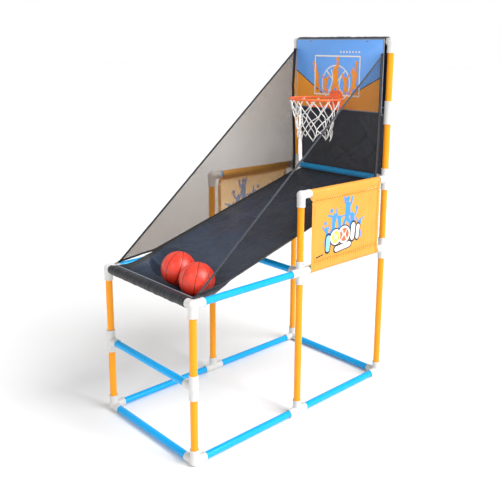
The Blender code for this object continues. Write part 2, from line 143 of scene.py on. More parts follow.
class Finish:
    """A Principled material with short ways to add procedural detail."""

    def __init__(self, name, colour, roughness=0.5, **sockets):
        self.material = bpy.data.materials.new(name)
        self.material.use_nodes = True
        self.tree = self.material.node_tree
        self.shader = self.tree.nodes["Principled BSDF"]
        self.shader.inputs["Base Color"].default_value = srgb(colour)
        self.shader.inputs["Roughness"].default_value = roughness
        for key, value in sockets.items():
            self.shader.inputs[key.replace("_", " ")].default_value = value
        self.places = self.tree.nodes.new("ShaderNodeTexCoord")
        self.split = None
        self.height = None

    def link(self, a, b):
        self.tree.links.new(a, b)

    def texture(self, kind, stretch, source, **inputs):
        node = self.tree.nodes.new(kind)
        for key, value in inputs.items():
            node.inputs[key].default_value = value
        mapping = self.tree.nodes.new("ShaderNodeMapping")
        mapping.inputs["Scale"].default_value = stretch
        self.link(self.places.outputs[source], mapping.inputs["Vector"])
        self.link(mapping.outputs["Vector"], node.inputs["Vector"])
        return node

    def noise(self, size, detail=4, stretch=(1, 1, 1), rough=0.55, source="Object"):
        """Noise whose features are about size metres wide."""
        settings = {"Scale": 1 / size, "Detail": detail, "Roughness": rough}
        return self.texture("ShaderNodeTexNoise", stretch, source, **settings).outputs["Fac"]

    def wave(self, pitch, axis, source="Object"):
        """Even ridges, pitch metres apart."""
        node = self.texture("ShaderNodeTexWave", (1, 1, 1), source, Scale=math.tau / 20 / pitch)
        node.bands_direction = axis
        return node.outputs["Fac"]

    def cells(self, size):
        return self.texture("ShaderNodeTexVoronoi", (1, 1, 1), "Object", Scale=1 / size).outputs["Distance"]

    def along(self, axis):
        """The place along the object's X, Y or Z."""
        if self.split is None:
            self.split = self.tree.nodes.new("ShaderNodeSeparateXYZ")
            self.link(self.places.outputs["Object"], self.split.inputs[0])
        return self.split.outputs[axis]

    def math(self, operation, *values):
        node = self.tree.nodes.new("ShaderNodeMath")
        node.operation = operation
        for socket, value in zip(node.inputs, values):
            if isinstance(value, (int, float)):
                socket.default_value = value
            else:
                self.link(value, socket)
        return node.outputs[0]

    def between(self, fac, low, high, to_low=0.0, to_high=1.0):
        node = self.tree.nodes.new("ShaderNodeMapRange")
        for index, value in enumerate((low, high, to_low, to_high), 1):
            node.inputs[index].default_value = value
        self.link(fac, node.inputs[0])
        return node.outputs[0]

    def tint(self, colour, fac):
        """Mixes another base colour in by fac."""
        node = self.tree.nodes.new("ShaderNodeMix")
        node.data_type = "RGBA"
        base = self.shader.inputs["Base Color"]
        if base.is_linked:
            self.link(base.links[0].from_socket, node.inputs["A"])
        else:
            node.inputs["A"].default_value = base.default_value
        node.inputs["B"].default_value = srgb(colour)
        self.link(fac, node.inputs["Factor"])
        self.link(node.outputs["Result"], base)

    def blotch(self, colour, size, detail, low, high, amount, **how):
        """Mixes a colour in, up to amount, where noise rises from low to high."""
        self.tint(colour, self.between(self.noise(size, detail, **how), low, high, 0, amount))

    def rough(self, fac, low, high):
        self.link(self.between(fac, 0.3, 0.7, low, high), self.shader.inputs["Roughness"])

    def bump(self, fac, depth):
        """Adds relief, depth metres from the darkest to the lightest."""
        scaled = self.math("MULTIPLY", fac, depth)
        self.height = scaled if self.height is None else self.math("ADD", self.height, scaled)
        return self

    def done(self):
        if self.height is not None:
            node = self.tree.nodes.new("ShaderNodeBump")
            node.inputs["Strength"].default_value = 1.0
            node.inputs["Distance"].default_value = 1.0
            self.link(self.height, node.inputs["Height"])
            self.link(node.outputs["Normal"], self.shader.inputs["Normal"])
        return self.material


def tube_finish(name, colour, deep, pale):
    """Glossy plastic-coated tube with handling scuffs and an uneven coating."""
    f = Finish(name, colour, 0.3, Specular_IOR_Level=0.20, Coat_Weight=0.30, Coat_Roughness=0.04)
    f.blotch(deep, 0.060, 3, 0.45, 0.75, 0.30)
    f.blotch(pale, 0.004, 5, 0.66, 0.82, 0.25, rough=0.7)
    f.rough(f.noise(0.012, 5), 0.24, 0.40)
    return f.bump(f.noise(0.006, 3), 0.00006).bump(f.noise(0.0009, 2), 0.000012).done()


def moulded_white():
    f = Finish("white_polypropylene", "d9d8d6", 0.34, Coat_Weight=0.15, Coat_Roughness=0.3)
    f.blotch("cfccc7", 0.025, 4, 0.50, 0.78, 0.55)
    f.blotch("bdb8af", 0.0022, 4, 0.66, 0.80, 0.45, rough=0.7)
    f.rough(f.noise(0.010, 4), 0.28, 0.44)
    return f.bump(f.noise(0.0012, 3), 0.000025).bump(f.noise(0.012, 2), 0.00008).done()


def woven(name, colours, pitch, sheen, roughness=(0.5, 0.7), source="UV", painted_glow=None, ends=None):
    """Plain-woven cloth in (base, deep, pale) colours with yarns pitch metres apart.

    The emission colour and strength, if given, are painted light that brightens the cloth though it is no
    lamp; ends, if given, is a colour of painted shade that darkens the cloth at the front and towards the
    rear.
    """
    colour, deep, pale = colours
    f = Finish(name, colour, 0.6, Sheen_Weight=sheen, Sheen_Roughness=0.45)
    # Painted light: an emission brightens the cloth, though it is no lamp.
    if painted_glow:
        f.shader.inputs["Emission Color"].default_value = srgb(painted_glow[0])
        f.shader.inputs["Emission Strength"].default_value = painted_glow[1]
    f.blotch(deep, 0.090, 4, 0.42, 0.72, 0.55, source=source)
    for stretch, low, amount in (((1, 0.12, 1), 0.56, 0.30), ((0.12, 1, 1), 0.58, 0.25)):
        f.blotch(pale, 0.0035, 4, low, low + 0.20, amount, stretch=stretch, rough=0.7, source=source)
    # Painted shade: the cloth is darkened at the front sleeve and towards the rear.
    if ends:
        for start, end, amount in ((-0.36, -0.465, 0.9), (-0.20, 0.20, 0.30)):
            f.tint(ends, f.between(f.along("Y"), start, end, 0.0, amount))
    weave = f.math("MULTIPLY", f.wave(pitch, "X", source), f.wave(pitch, "Y", source))
    f.rough(f.noise(0.020, 4, source=source), *roughness)
    return f.bump(weave, 0.00010).bump(f.noise(0.012, 4, source=source), 0.0004).done()


def printed(name, colour, deep, shine=0.42):
    """Ink on cloth or board, slightly worn."""
    f = Finish(name, colour, shine)
    f.blotch(deep, 0.030, 4, 0.45, 0.75, 0.40)
    f.blotch(deep, 0.0015, 3, 0.62, 0.80, 0.25, rough=0.8)
    f.rough(f.noise(0.008, 4), shine - 0.06, shine + 0.12)
    return f.bump(f.noise(0.0016, 3), 0.00004).done()


def net_finish(name, colour, pitch, thread):
    """Square mesh with clear air between threads, which widen towards the rear and the foot as painted
    shade.
    """
    f = Finish(name, colour, 0.75, Specular_IOR_Level=0.25)
    f.blotch("1d1610", 0.080, 3, 0.40, 0.70, 0.25)
    fine, coarse = (t / pitch for t in thread)
    # Painted shade: wider threads darken the mesh towards the rear and the foot.
    rear = f.between(f.along("Y"), 0.05, 0.45, fine, coarse)
    foot = f.between(f.along("Z"), 0.95, 0.65, 0.0, (coarse - fine) * 0.6)
    thread_share_with_painted_shade = f.math("ADD", rear, foot)
    holes = []
    for axis in ("Y", "Z"):
        cell = f.math("FRACT", f.math("MULTIPLY", f.along(axis), 1 / pitch))
        holes.append(f.math("GREATER_THAN", cell, thread_share_with_painted_shade))
    open_air = f.math("MULTIPLY", *holes)
    f.link(f.math("SUBTRACT", 1.0, open_air), f.shader.inputs["Alpha"])
    f.rough(f.noise(0.010, 3), 0.65, 0.85)
    return f.done()


def cord_finish():
    f = Finish("white_polyester_cord", "fbfaf8", 0.7, Sheen_Weight=0.35)
    f.blotch("ddd9d2", 0.003, 4, 0.45, 0.75, 0.6)
    f.rough(f.noise(0.002, 3), 0.6, 0.85)
    return f.bump(f.noise(0.0007, 3, (1, 1, 0.4)), 0.0002).done()


def ball_finish():
    """Pebbled rubber with dark lines in the grooves of seam_distance(), and a painted highlight in lighter
    red on the pebble tops.
    """
    f = Finish("red_rubber", "ea3c25", 0.36, Coat_Weight=0.22, Coat_Roughness=0.28)
    f.blotch("cf2c19", 0.030, 3, 0.40, 0.70, 0.7)
    # Painted highlight: the pebble tops are tinted a lighter red.
    f.tint("ff6a4a", f.between(f.cells(0.0021), 0.0, 0.28, 0.30, 0.0))
    x, y = (f.math("MULTIPLY", f.along(axis), 1 / BALL_R) for axis in "XY")
    x, y = f.math("ABSOLUTE", x), f.math("ABSOLUTE", y)
    slanted = f.math("MULTIPLY", f.math("ABSOLUTE", f.math("SUBTRACT", x, y)), math.sqrt(0.5))
    near = f.math("MINIMUM", f.math("MINIMUM", x, y), slanted)
    line = f.math("LESS_THAN", near, GROOVE_HALF / BALL_R)
    f.tint("150c0b", line)
    pebbles = f.between(f.cells(0.0021), 0.0, 0.9, 1.0, 0.0)
    f.rough(f.noise(0.004, 4), 0.28, 0.46)
    return f.bump(f.math("MULTIPLY", pebbles, f.math("SUBTRACT", 1.0, line)), 0.00035).done()


ORANGE_TUBE = tube_finish("orange_coated_tube", "ffa206", "f69402", "ffc23c")
BLUE_TUBE = tube_finish("blue_coated_tube", "00adf3", "009ee6", "58d0ff")
WHITE = moulded_white()
# Black nylon; its ends colour is painted shade at the front sleeve and towards the rear.
NYLON_WITH_PAINTED_SHADE = woven("black_nylon", ("303c4f", "1c222c", "51637d"), 0.0006, 0.05, (0.34, 0.50), ends="0d0f13")
BINDING = woven("black_binding_tape", ("1c1e22", "131518", "33373d"), 0.0009, 0.12, source="Object")
HEM = woven("grey_hem_tape", ("2c323a", "22272e", "454d58"), 0.0009, 0.15, source="Object")
# Painted highlight: this lighter grey on the front seam stands for light along the sleeve's top edge.
SEAM_WITH_PAINTED_HIGHLIGHT = woven("grey_seam_painted_highlight", ("7d8591", "6a727d", "9aa2ad"), 0.0009, 0.3, source="Object")
THREAD = woven("grey_thread", ("7b828c", "5e656f", "9aa1ab"), 0.0004, 0.3, source="Object")
ORANGE_THREAD = woven("orange_thread", ("f0952c", "d9821e", "ffb457"), 0.0004, 0.3, source="Object")
LEFT_NET = net_finish("mesh_cloth_far", "583e1c", 0.0030, (0.00100, 0.00166))
RIGHT_NET = net_finish("mesh_cloth_near", "1c1813", 0.0030, (0.00045, 0.00062))
PANEL = woven("orange_polyester", ("e7a23c", "dc942c", "f2b95c"), 0.0007, 0.06)
# Painted shade: the darker orange of the cord laid below each channel seam.
PANEL_SEAM_PAINTED_SHADE = woven("orange_seam_painted_shade", ("d68c2c", "c67f24", "e39a3a"), 0.0007, 0.06, source="Object")
# The panels' inner face: pale cloth lit by a painted emission, though it is no lamp.
PANEL_BACK_WITH_PAINTED_GLOW = woven(
    "pale_polyester_back_painted_glow", ("ffe3b8", "f8d5a0", "ffedd0"), 0.0007, 0.08, painted_glow=("ffc98a", 0.50)
)
BOARD_BLUE = printed("board_blue", "6dabf8", "63a1ef")
BOARD_ORANGE = printed("board_orange", "f69f34", "ec932a")
INK_DARK = printed("ink_dark", "1d2433", "131824")
INK_WHITE = printed("ink_white", "eeeae6", "dcd6d0")
INK_ORANGE = printed("ink_orange", "ff9a1c", "f08d12")
INK_BLUE = printed("ink_blue", "3f97f2", "3286e0")
INK_SKY = printed("ink_sky", "8fd3fb", "7cc4ee")
INK_YELLOW = printed("ink_yellow", "ffc93a", "f5bb2b")
INK_RED = printed("ink_red", "f4683c", "e45a30")
INK_FAINT = printed("ink_showing_through", "8fb4e6", "7fa4dc")
BOARD_EDGE = printed("board_edge", "868d99", "6d7480")
CORAL = tube_finish("coral_plastic", "ff7440", "f76636", "ff9268")
CORD = cord_finish()
RUBBER = ball_finish()
STEEL = printed("zinc_screw", "8d9097", "6f7278", 0.35)
DARK_STEEL = printed("dark_eyelet", "4a4e55", "34373c", 0.4)


# ---------------------------------------------------------------- meshes


class Shape:
    """Points, faces and the finish of each face, gathered for one piece."""

    def __init__(self):
        self.points = []
        self.faces = []
        self.kinds = []
        self.uvs = {}

    def add(self, points, faces, kind=0):
        start = len(self.points)
        self.points += [tuple(p) for p in points]
        self.faces += [tuple(start + i for i in face) for face in faces]
        self.kinds += [kind] * len(faces)
        return start

    def grid(self, rows, around=False, loop=False, caps=False, kind=0):
        """Joins rows of points. around closes each row, loop joins the last row to the first."""
        wide = len(rows[0])
        start = self.add([p for row in rows for p in row], [])
        tall = len(rows)
        for i in range(tall if loop else tall - 1):
            for j in range(wide if around else wide - 1):
                a, b = i * wide + j, i * wide + (j + 1) % wide
                c, d = ((i + 1) % tall) * wide + (j + 1) % wide, ((i + 1) % tall) * wide + j
                self.faces.append((start + a, start + b, start + c, start + d))
                self.kinds.append(kind)
        if caps:
            self.faces.append(tuple(start + j for j in reversed(range(wide))))
            self.faces.append(tuple(start + (tall - 1) * wide + j for j in range(wide)))
            self.kinds += [kind, kind]
        return start

    def turned(self, profile, matrix, sides=40, closed=True, kind=0):
        """Turns a profile of (radius, z) about Z and places it by matrix."""
        rows = [
            [matrix @ Vector((radius * math.cos(a), radius * math.sin(a), z)) for a in turns(sides, 0.5)]
            for radius, z in profile
        ]
        return self.grid(rows, around=True, loop=closed, kind=kind)

    def sweep(self, path, radius, sides=8, loop=False, kind=0):
        """A round rope along a path; radius may be a function of the share along it."""
        path = [Vector(p) for p in path]
        count = len(path)
        rows = []
        side = None
        for i, point in enumerate(path):
            before = path[i - 1] if loop or i else path[i]
            after = path[(i + 1) % count] if loop or i + 1 < count else path[i]
            along = (after - before).normalized()
            if side is None:
                side = along.orthogonal().normalized()
            side = (side - along * side.dot(along)).normalized()
            up = along.cross(side)
            r = radius(i / max(count - 1, 1)) if callable(radius) else radius
            rows.append([point + side * (r * math.cos(a)) + up * (r * math.sin(a)) for a in turns(sides)])
        return self.grid(rows, around=True, loop=loop, caps=not loop, kind=kind)


def added(name, data):
    """A new object in the scene."""
    made = bpy.data.objects.new(name, data)
    bpy.context.scene.collection.objects.link(made)
    return made


def piece(name, shape, finishes, body="frame", replaces=(), slot=None, sharp=40):
    """Makes one piece of the object from a shape and puts it on a body."""
    mesh = bpy.data.meshes.new(name)
    mesh.from_pydata(shape.points, [], shape.faces)
    for finish in finishes if isinstance(finishes, list) else [finishes]:
        mesh.materials.append(finish)
    mesh.polygons.foreach_set("material_index", shape.kinds)
    if shape.uvs:
        layer = mesh.uv_layers.new(name="cloth")
        for loop in mesh.loops:
            layer.data[loop.index].uv = shape.uvs[loop.vertex_index]
    mesh.shade_smooth()
    if sharp:
        mesh.set_sharp_from_angle(angle=math.radians(sharp))
    made = added(name, mesh)
    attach(made, body)
    if replaces:
        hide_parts(*replaces)
    return made


def lay_flat(shape, grid, profile, axis):
    """Sets a cloth's UVs to its own width and length in metres, and returns the whole length."""
    length = 0.0
    for i, row in enumerate(grid):
        if i:
            length += math.dist(profile[i][:2], profile[i - 1][:2])
        for j, point in enumerate(row):
            shape.uvs[i * len(row) + j] = (point[axis], length)
    return length


def thicken(sheet, thickness, offset):
    solid = sheet.modifiers.new("thickness", "SOLIDIFY")
    solid.thickness = thickness
    solid.offset = offset
    return solid


def aimed(start, along, roll=0.0):
    """A matrix that puts Z along a direction from a point."""
    turn = Vector(along).to_track_quat("Z", "Y").to_matrix().to_4x4()
    return Matrix.Translation(start) @ turn @ Matrix.Rotation(roll, 4, "Z")


# ---------------------------------------------------------------- tubes and connectors


def tube_piece(name, start, end, finish, slot, node):
    start, end = Vector(start), Vector(end)
    length = (end - start).length
    inner, lip = TUBE_R - TUBE_WALL, 0.0005
    outer = [(TUBE_R, z) for z in even(10, lip, length - lip)]
    profile = [(inner, 0), (TUBE_R - lip, 0), *outer, (TUBE_R - lip, length), (inner, length)]
    shape = Shape()
    shape.turned(profile, aimed(start, end - start), 44)
    piece(name, shape, finish, replaces=[node], slot=slot)


def direction(arm):
    """The unit vector of an arm such as "-Z"."""
    return AXES[arm[1]] * (1 if arm[0] == "+" else -1)


def smooth_union(fields, blend):
    total = fields[0]
    for other in fields[1:]:
        h = np.clip(0.5 + 0.5 * (other - total) / blend, 0, 1)
        total = other * (1 - h) + total * h - blend * h * (1 - h)
    return total


def moulding_field(points, arms):
    """Signed distance to arms that flow into a round core."""
    fields = [np.linalg.norm(points, axis=1) - (CORE_R - 0.0003)]
    for arm in arms:
        unit = np.array(direction(arm))
        along = points @ unit
        across = np.linalg.norm(points - np.outer(np.clip(along, 0, None), unit), axis=1)
        radius = SOCKET_R - 0.0003 * np.clip(along / SOCKET_REACH, 0, 1)
        fields.append(np.maximum(across - radius, along - (SOCKET_REACH - 0.002)))
    return smooth_union(fields, 0.0035)


mouldings = {}


def moulding(arms):
    """One moulded connector at the origin, made once for each set of arms.

    A remeshed union of plain cylinders is drawn onto the smooth field, then each socket gets a collar.
    """
    key = tuple(arms)
    if key in mouldings:
        return mouldings[key]
    rough = Shape()
    stub = SOCKET_REACH - 0.002
    for arm in arms:
        rows = [(TINY, 0), (SOCKET_R, 0), (SOCKET_R, stub), (TINY, stub)]
        rough.turned(rows, aimed((0, 0, 0), direction(arm)), 32, closed=False)
    ball = [(CORE_R * math.sin(a) + TINY, -CORE_R * math.cos(a)) for a in even(16, 0, math.pi)]
    rough.turned(ball, Matrix.Identity(4), 32, closed=False)
    mesh = bpy.data.meshes.new("rough")
    mesh.from_pydata(rough.points, [], rough.faces)
    work = bmesh.new()
    work.from_mesh(mesh)
    bmesh.ops.remove_doubles(work, verts=work.verts, dist=0.0001)
    bmesh.ops.recalc_face_normals(work, faces=work.faces)
    work.to_mesh(mesh)
    work.free()
    helper = added("rough", mesh)
    remesh = helper.modifiers.new("remesh", "REMESH")
    remesh.mode = "VOXEL"
    remesh.voxel_size = 0.0017
    made = bpy.data.meshes.new_from_object(helper.evaluated_get(bpy.context.evaluated_depsgraph_get()))
    bpy.data.objects.remove(helper, do_unlink=True)
    points = np.empty(len(made.vertices) * 3)
    made.vertices.foreach_get("co", points)
    points = points.reshape(-1, 3)
    step = 0.00005
    for _ in range(5):
        here = moulding_field(points, arms)
        slope = [(moulding_field(points + step * axis, arms) - here) / step for axis in np.eye(3)]
        slope = np.stack(slope, axis=1)
        slope /= np.maximum(np.linalg.norm(slope, axis=1, keepdims=True), 1e-6)
        points -= slope * here[:, None]
    shape = Shape()
    shape.add(points.tolist(), [tuple(face.vertices) for face in made.polygons])
    bore, lip, reach = TUBE_R + 0.0005, SOCKET_R + 0.0005, SOCKET_REACH
    collar = [
        (bore, reach - 0.0120), (bore, reach - 0.0006), (bore + 0.0006, reach), (SOCKET_R - 0.0002, reach),
        (lip, reach - 0.0008), (lip, reach - 0.0042), (SOCKET_R - 0.0002, reach - 0.0052),
        (SOCKET_R - 0.0015, reach - 0.0056),
    ]
    for arm in arms:
        shape.turned(collar, aimed((0, 0, 0), direction(arm)), 44, closed=False)
    mouldings[key] = shape
    return shape


def connector_piece(node, arms, place):
    """A moulding set on its node, with its foot cut flat where it stands on the floor."""
    source = moulding(arms)
    shape = Shape()
    points = [(p[0] + place[0], p[1] + place[1], max(p[2] + place[2], 0.0)) for p in source.points]
    shape.add(points, source.faces)
    piece("connector_" + node, shape, WHITE, replaces=[node], slot="connector", sharp=45)


def coupler_piece(side, place):
    """A straight sleeve with a rim at each end and a faint parting ridge round its middle."""
    bore, lip, reach = TUBE_R + 0.0003, 0.0007, COUPLER_REACH
    skin, rim = SOCKET_R - 0.0002, SOCKET_R + 0.0005
    half = [
        (skin, 0.002), (skin, reach - 0.005), (rim, reach - 0.004), (rim, reach - lip), (SOCKET_R, reach),
        (bore, reach),
    ]
    profile = [(radius, -z) for radius, z in reversed(half)] + [(SOCKET_R + 0.0002, 0)] + half
    shape = Shape()
    shape.turned(profile, Matrix.Translation(place), 44)
    piece(f"coupler_{side}_mast", shape, WHITE, replaces=[f"{side}_mast_upper"], slot="connector")


def screw(shape, place, out, size=0.0032):
    """A domed cross-head screw."""
    outline = ((1, 0), (1, 0.18), (0.85, 0.42), (0.5, 0.58))
    dome = [(size * r, size * z) for r, z in outline] + [(TINY, size * 0.62)]
    matrix = aimed(place, out)
    shape.turned(dome, matrix, 20, closed=False)
    for turn in (0, math.pi / 2):
        bar = matrix @ Matrix.Rotation(turn, 4, "Z")
        corners = [(-1, -0.16), (1, -0.16), (1, 0.16), (-1, 0.16)]
        levels = [
            [bar @ Vector((a * size * 0.55, b * size, size * z)) for a, b in corners] for z in (0.50, 0.64)
        ]
        shape.grid(levels, around=True, caps=True, kind=1)


def build_frame():
    """Every tube from its CAD node's box, and a fine moulding for each connector."""
    endings = ("_rail", "_front", "_rear", "_lower", "_upper", "_tube")
    for node in sorted(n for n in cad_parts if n.endswith(endings) and not n.endswith("mast_upper")):
        low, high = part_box(node)
        size = high - low
        axis = max(range(3), key=lambda k: size[k])
        middle = (low + high) / 2
        reach = Vector([size[k] / 2 if k == axis else 0 for k in range(3)])
        finish, slot = (ORANGE_TUBE, "orange_tube") if axis == 2 else (BLUE_TUBE, "blue_tube")
        tube_piece("tube_" + node, middle - reach, middle + reach, finish, slot, node)
    for side, s in SIDES.items():
        inward = "-X" if s > 0 else "+X"
        x = s * POST_X
        front_corner = "front_top_bar" if s < 0 else "right_front_top_corner"
        elbow = "top_bar" if s < 0 else "top_right_elbow"
        for node, arms, y, z in (
            (f"{side}_bottom_tee", ["+Y", "-Y", "+Z"], 0, FLOOR_Z),
            (f"front_{side}_bottom_corner", [inward, "+Y", "+Z"], -POST_Y, FLOOR_Z),
            (f"rear_{side}_bottom_corner", [inward, "-Y", "+Z"], POST_Y, FLOOR_Z),
            (f"{side}_front_tee", [inward, "+Z", "-Z"], -POST_Y, FRONT_RAIL_Z),
            (f"{side}_middle_cross", [inward, "+Y", "-Y", "+Z", "-Z"], 0, DECK_Z),
            (f"{side}_rear_tee", ["-Y", "+Z", "-Z"], POST_Y, DECK_Z),
            (f"{side}_rear_cross", [inward, "-Y", "+Z", "-Z"], POST_Y, PANEL_Z),
            (f"{side}_panel_top_bar", ["+Y", "-Z"], 0, PANEL_Z),
            (front_corner, [inward, "+Y", "-Z"], -POST_Y, DECK_Z),
            (elbow, [inward, "-Z"], POST_Y, TOP_Z),
        ):
            connector_piece(node, arms, (x, y, z))
        ends = [(x, y, PANEL_Z) for y in (CORE_R, POST_Y - CORE_R)]
        tube_piece(f"tube_{side}_panel_top", *ends, BLUE_TUBE, "blue_tube", f"{side}_panel_top_bar")
        mast = f"{side}_mast_upper"
        ends = [(x, POST_Y, z) for z in (COUPLER_Z, TOP_Z - CORE_R)]
        tube_piece("tube_" + mast, *ends, ORANGE_TUBE, "orange_tube", mast)
        coupler_piece(side, (x, POST_Y, COUPLER_Z))
        screws = Shape()
        for z in (DECK_Z - 0.034, DECK_Z + 0.034):
            screw(screws, (x + s * SOCKET_R, 0, z), (s, 0, 0))
        piece(f"screws_{side}_middle_cross", screws, [WHITE, DARK_STEEL], slot="connector")
    for node, y, z in (("front_top_bar", -POST_Y, DECK_Z), ("top_bar", POST_Y, TOP_Z)):
        ends = [(x, y, z) for x in (-POST_X + CORE_R, POST_X - CORE_R)]
        tube_piece("tube_" + node, *ends, BLUE_TUBE, "blue_tube", node)


# ---------------------------------------------------------------- sewn cover


def arc(centre, radius, first, last, steps):
    """Points round a centre from one angle to another, in degrees."""
    return [away(centre, radius, angle) for angle in even(steps, first, last)]


def pocket_depth(u, y):
    """How far the tray hangs below its taut side edges; u runs from -1 to 1 across the cloth."""
    if not SEAM_Y < y < POCKET_END_Y:
        return 0.0
    t = (y - SEAM_Y) / (POCKET_END_Y - SEAM_Y)
    along = smooth_step(t / 0.25) * smooth_step((1 - t) / 0.50)
    return POCKET_DEPTH * (1 + POCKET_TILT * u) * along * (1 - abs(u) ** 10)


def cover_rows():
    """Rows as (y, z, zone); the zones are sleeve, ramp, turn, back and top."""
    def straight(a, b, steps):
        return [(mix(a[0], b[0], t), mix(a[1], b[1], t), "ramp") for t in even(steps)]

    tray_rear = (TRAY_REAR_Y, TRAY_REAR_Z)
    slope = math.atan2(PANEL_Z - SLEEVE_R - TRAY_REAR_Z, POST_Y - TRAY_REAR_Y)
    turn = arc((POST_Y, PANEL_Z), SLEEVE_R, math.degrees(slope) - 90, 0, 8)
    top = arc((POST_Y, TOP_Z), SLEEVE_R, 0, 320, 34)
    rows = [(y, z, "sleeve") for y, z in arc((-POST_Y, DECK_Z), SLEEVE_R, 8, -292, 40)]
    rows += straight((SEAM_Y, SEAM_Z), tray_rear, 60)[1:]
    rows += straight(tray_rear, turn[0], 170)[1:-1]
    rows += [(y, z, "turn") for y, z in turn]
    rows += [(turn[-1][0], z, "back") for z in even(100, turn[-1][1], top[0][1])[1:-1]]
    return rows + [(y, z, "top") for y, z in top]


def ridge(x, y, a, b, width, height):
    """Height of a sharp-backed crease from a to b at (x, y), rounded off at both ends."""
    ax, ay = a
    dx, dy = b[0] - ax, b[1] - ay
    length2 = dx * dx + dy * dy
    t = ((x - ax) * dx + (y - ay) * dy) / length2
    if not -0.02 < t < 1.02:
        return 0.0
    off = ((x - ax) * dy - (y - ay) * dx) / math.sqrt(length2)
    fade = smooth_step(t / 0.25) * smooth_step((1 - t) / 0.35)
    return 1.5 * height * fade * math.exp(-math.sqrt((off / width) ** 2 + 0.03) * 1.3)


# Creases as (from, to, width, height), by x and y on the ramp and by x and z on the back
RAMP_CREASES = [
    ((-0.226, -0.322), (-0.070, -0.345), 0.0060, 0.0150),
    ((-0.226, -0.340), (-0.050, -0.366), 0.0080, -0.0130),
    ((-0.222, -0.296), (-0.020, -0.270), 0.0110, -0.0045),
    ((-0.215, -0.265), (-0.020, -0.225), 0.0070, 0.0042),
    ((0.215, -0.300), (0.110, -0.325), 0.0070, 0.0050),
    ((0.222, -0.255), (0.080, -0.290), 0.0090, -0.0046),
    ((-0.222, -0.060), (-0.120, -0.100), 0.0045, 0.0032),
    ((-0.200, 0.100), (-0.100, 0.020), 0.0045, 0.0034),
    ((-0.150, 0.040), (0.010, 0.070), 0.0050, 0.0030),
    ((0.030, -0.240), (0.070, 0.110), 0.0120, 0.0036),
    ((0.150, -0.230), (0.110, 0.050), 0.0090, -0.0034),
    ((-0.060, -0.230), (-0.110, 0.130), 0.0130, 0.0036),
    ((-0.160, -0.200), (-0.180, 0.060), 0.0090, -0.0030),
    ((0.222, 0.120), (0.040, 0.050), 0.0065, 0.0036),
    ((0.200, 0.020), (0.090, -0.090), 0.0055, 0.0032),
    ((0.222, 0.330), (-0.040, 0.250), 0.0110, 0.0036),
    ((-0.222, 0.380), (0.060, 0.330), 0.0110, -0.0034),
    ((-0.180, 0.460), (-0.120, 0.200), 0.0080, 0.0032),
    ((0.060, 0.460), (0.110, 0.180), 0.0080, 0.0030),
    ((-0.020, 0.450), (-0.050, 0.150), 0.0070, -0.0026),
]
BACK_CREASES = [
    ((-0.210, 0.870), (-0.040, 1.050), 0.0070, 0.0046),
    ((-0.120, 0.860), (0.060, 1.080), 0.0080, 0.0050),
    ((0.020, 0.865), (0.170, 1.060), 0.0070, 0.0042),
    ((0.090, 0.862), (0.225, 0.990), 0.0070, 0.0040),
    ((0.225, 0.930), (0.060, 1.100), 0.0090, -0.0040),
    ((-0.225, 0.960), (0.000, 1.100), 0.0090, -0.0036),
    ((-0.060, 0.862), (0.120, 0.990), 0.0055, 0.0034),
    ((0.215, 1.000), (0.110, 1.230), 0.0080, 0.0034),
    ((-0.215, 1.080), (-0.120, 1.300), 0.0080, 0.0034),
    ((0.100, 0.870), (-0.080, 0.990), 0.0070, 0.0030),
]


def under_balls(x, y, z, clearance=0.0013):
    """The highest the cloth may be at (x, y), resting against the balls from below."""
    for centre in (FRONT_BALL, REAR_BALL):
        flat = math.hypot(x - centre.x, y - centre.y)
        reach = BALL_R + clearance
        if flat < reach * 0.93:
            z = min(z, centre.z - math.sqrt(reach**2 - flat**2))
    return z


def sleeve_point(u, x, row):
    """A point of the front or the top sleeve, gathered round its bar and tucked in at its mouths."""
    y, z, zone = row
    centre = (-POST_Y, DECK_Z) if zone == "sleeve" else (POST_Y, TOP_Z)
    edge = abs(u) * RAMP_HALF_WIDTH
    tuck = smooth_step((edge - (RAMP_HALF_WIDTH - 0.010)) / 0.010) * (0.0012 if u < 0 else 0.0004)
    twist = 12 * (y + z)
    gather = 0.0013 * ripple(x, twist, 0, 95, 1) + 0.0012 * ripple(x, twist, 4, 30, 1)
    trim = FRONT_SLEEVE_TRIM if zone == "sleeve" else 0
    scale = (SLEEVE_R - trim + gather * (1 - abs(u) ** 6) - tuck) / SLEEVE_R
    return Vector((x, centre[0] + (y - centre[0]) * scale, centre[1] + (z - centre[1]) * scale))


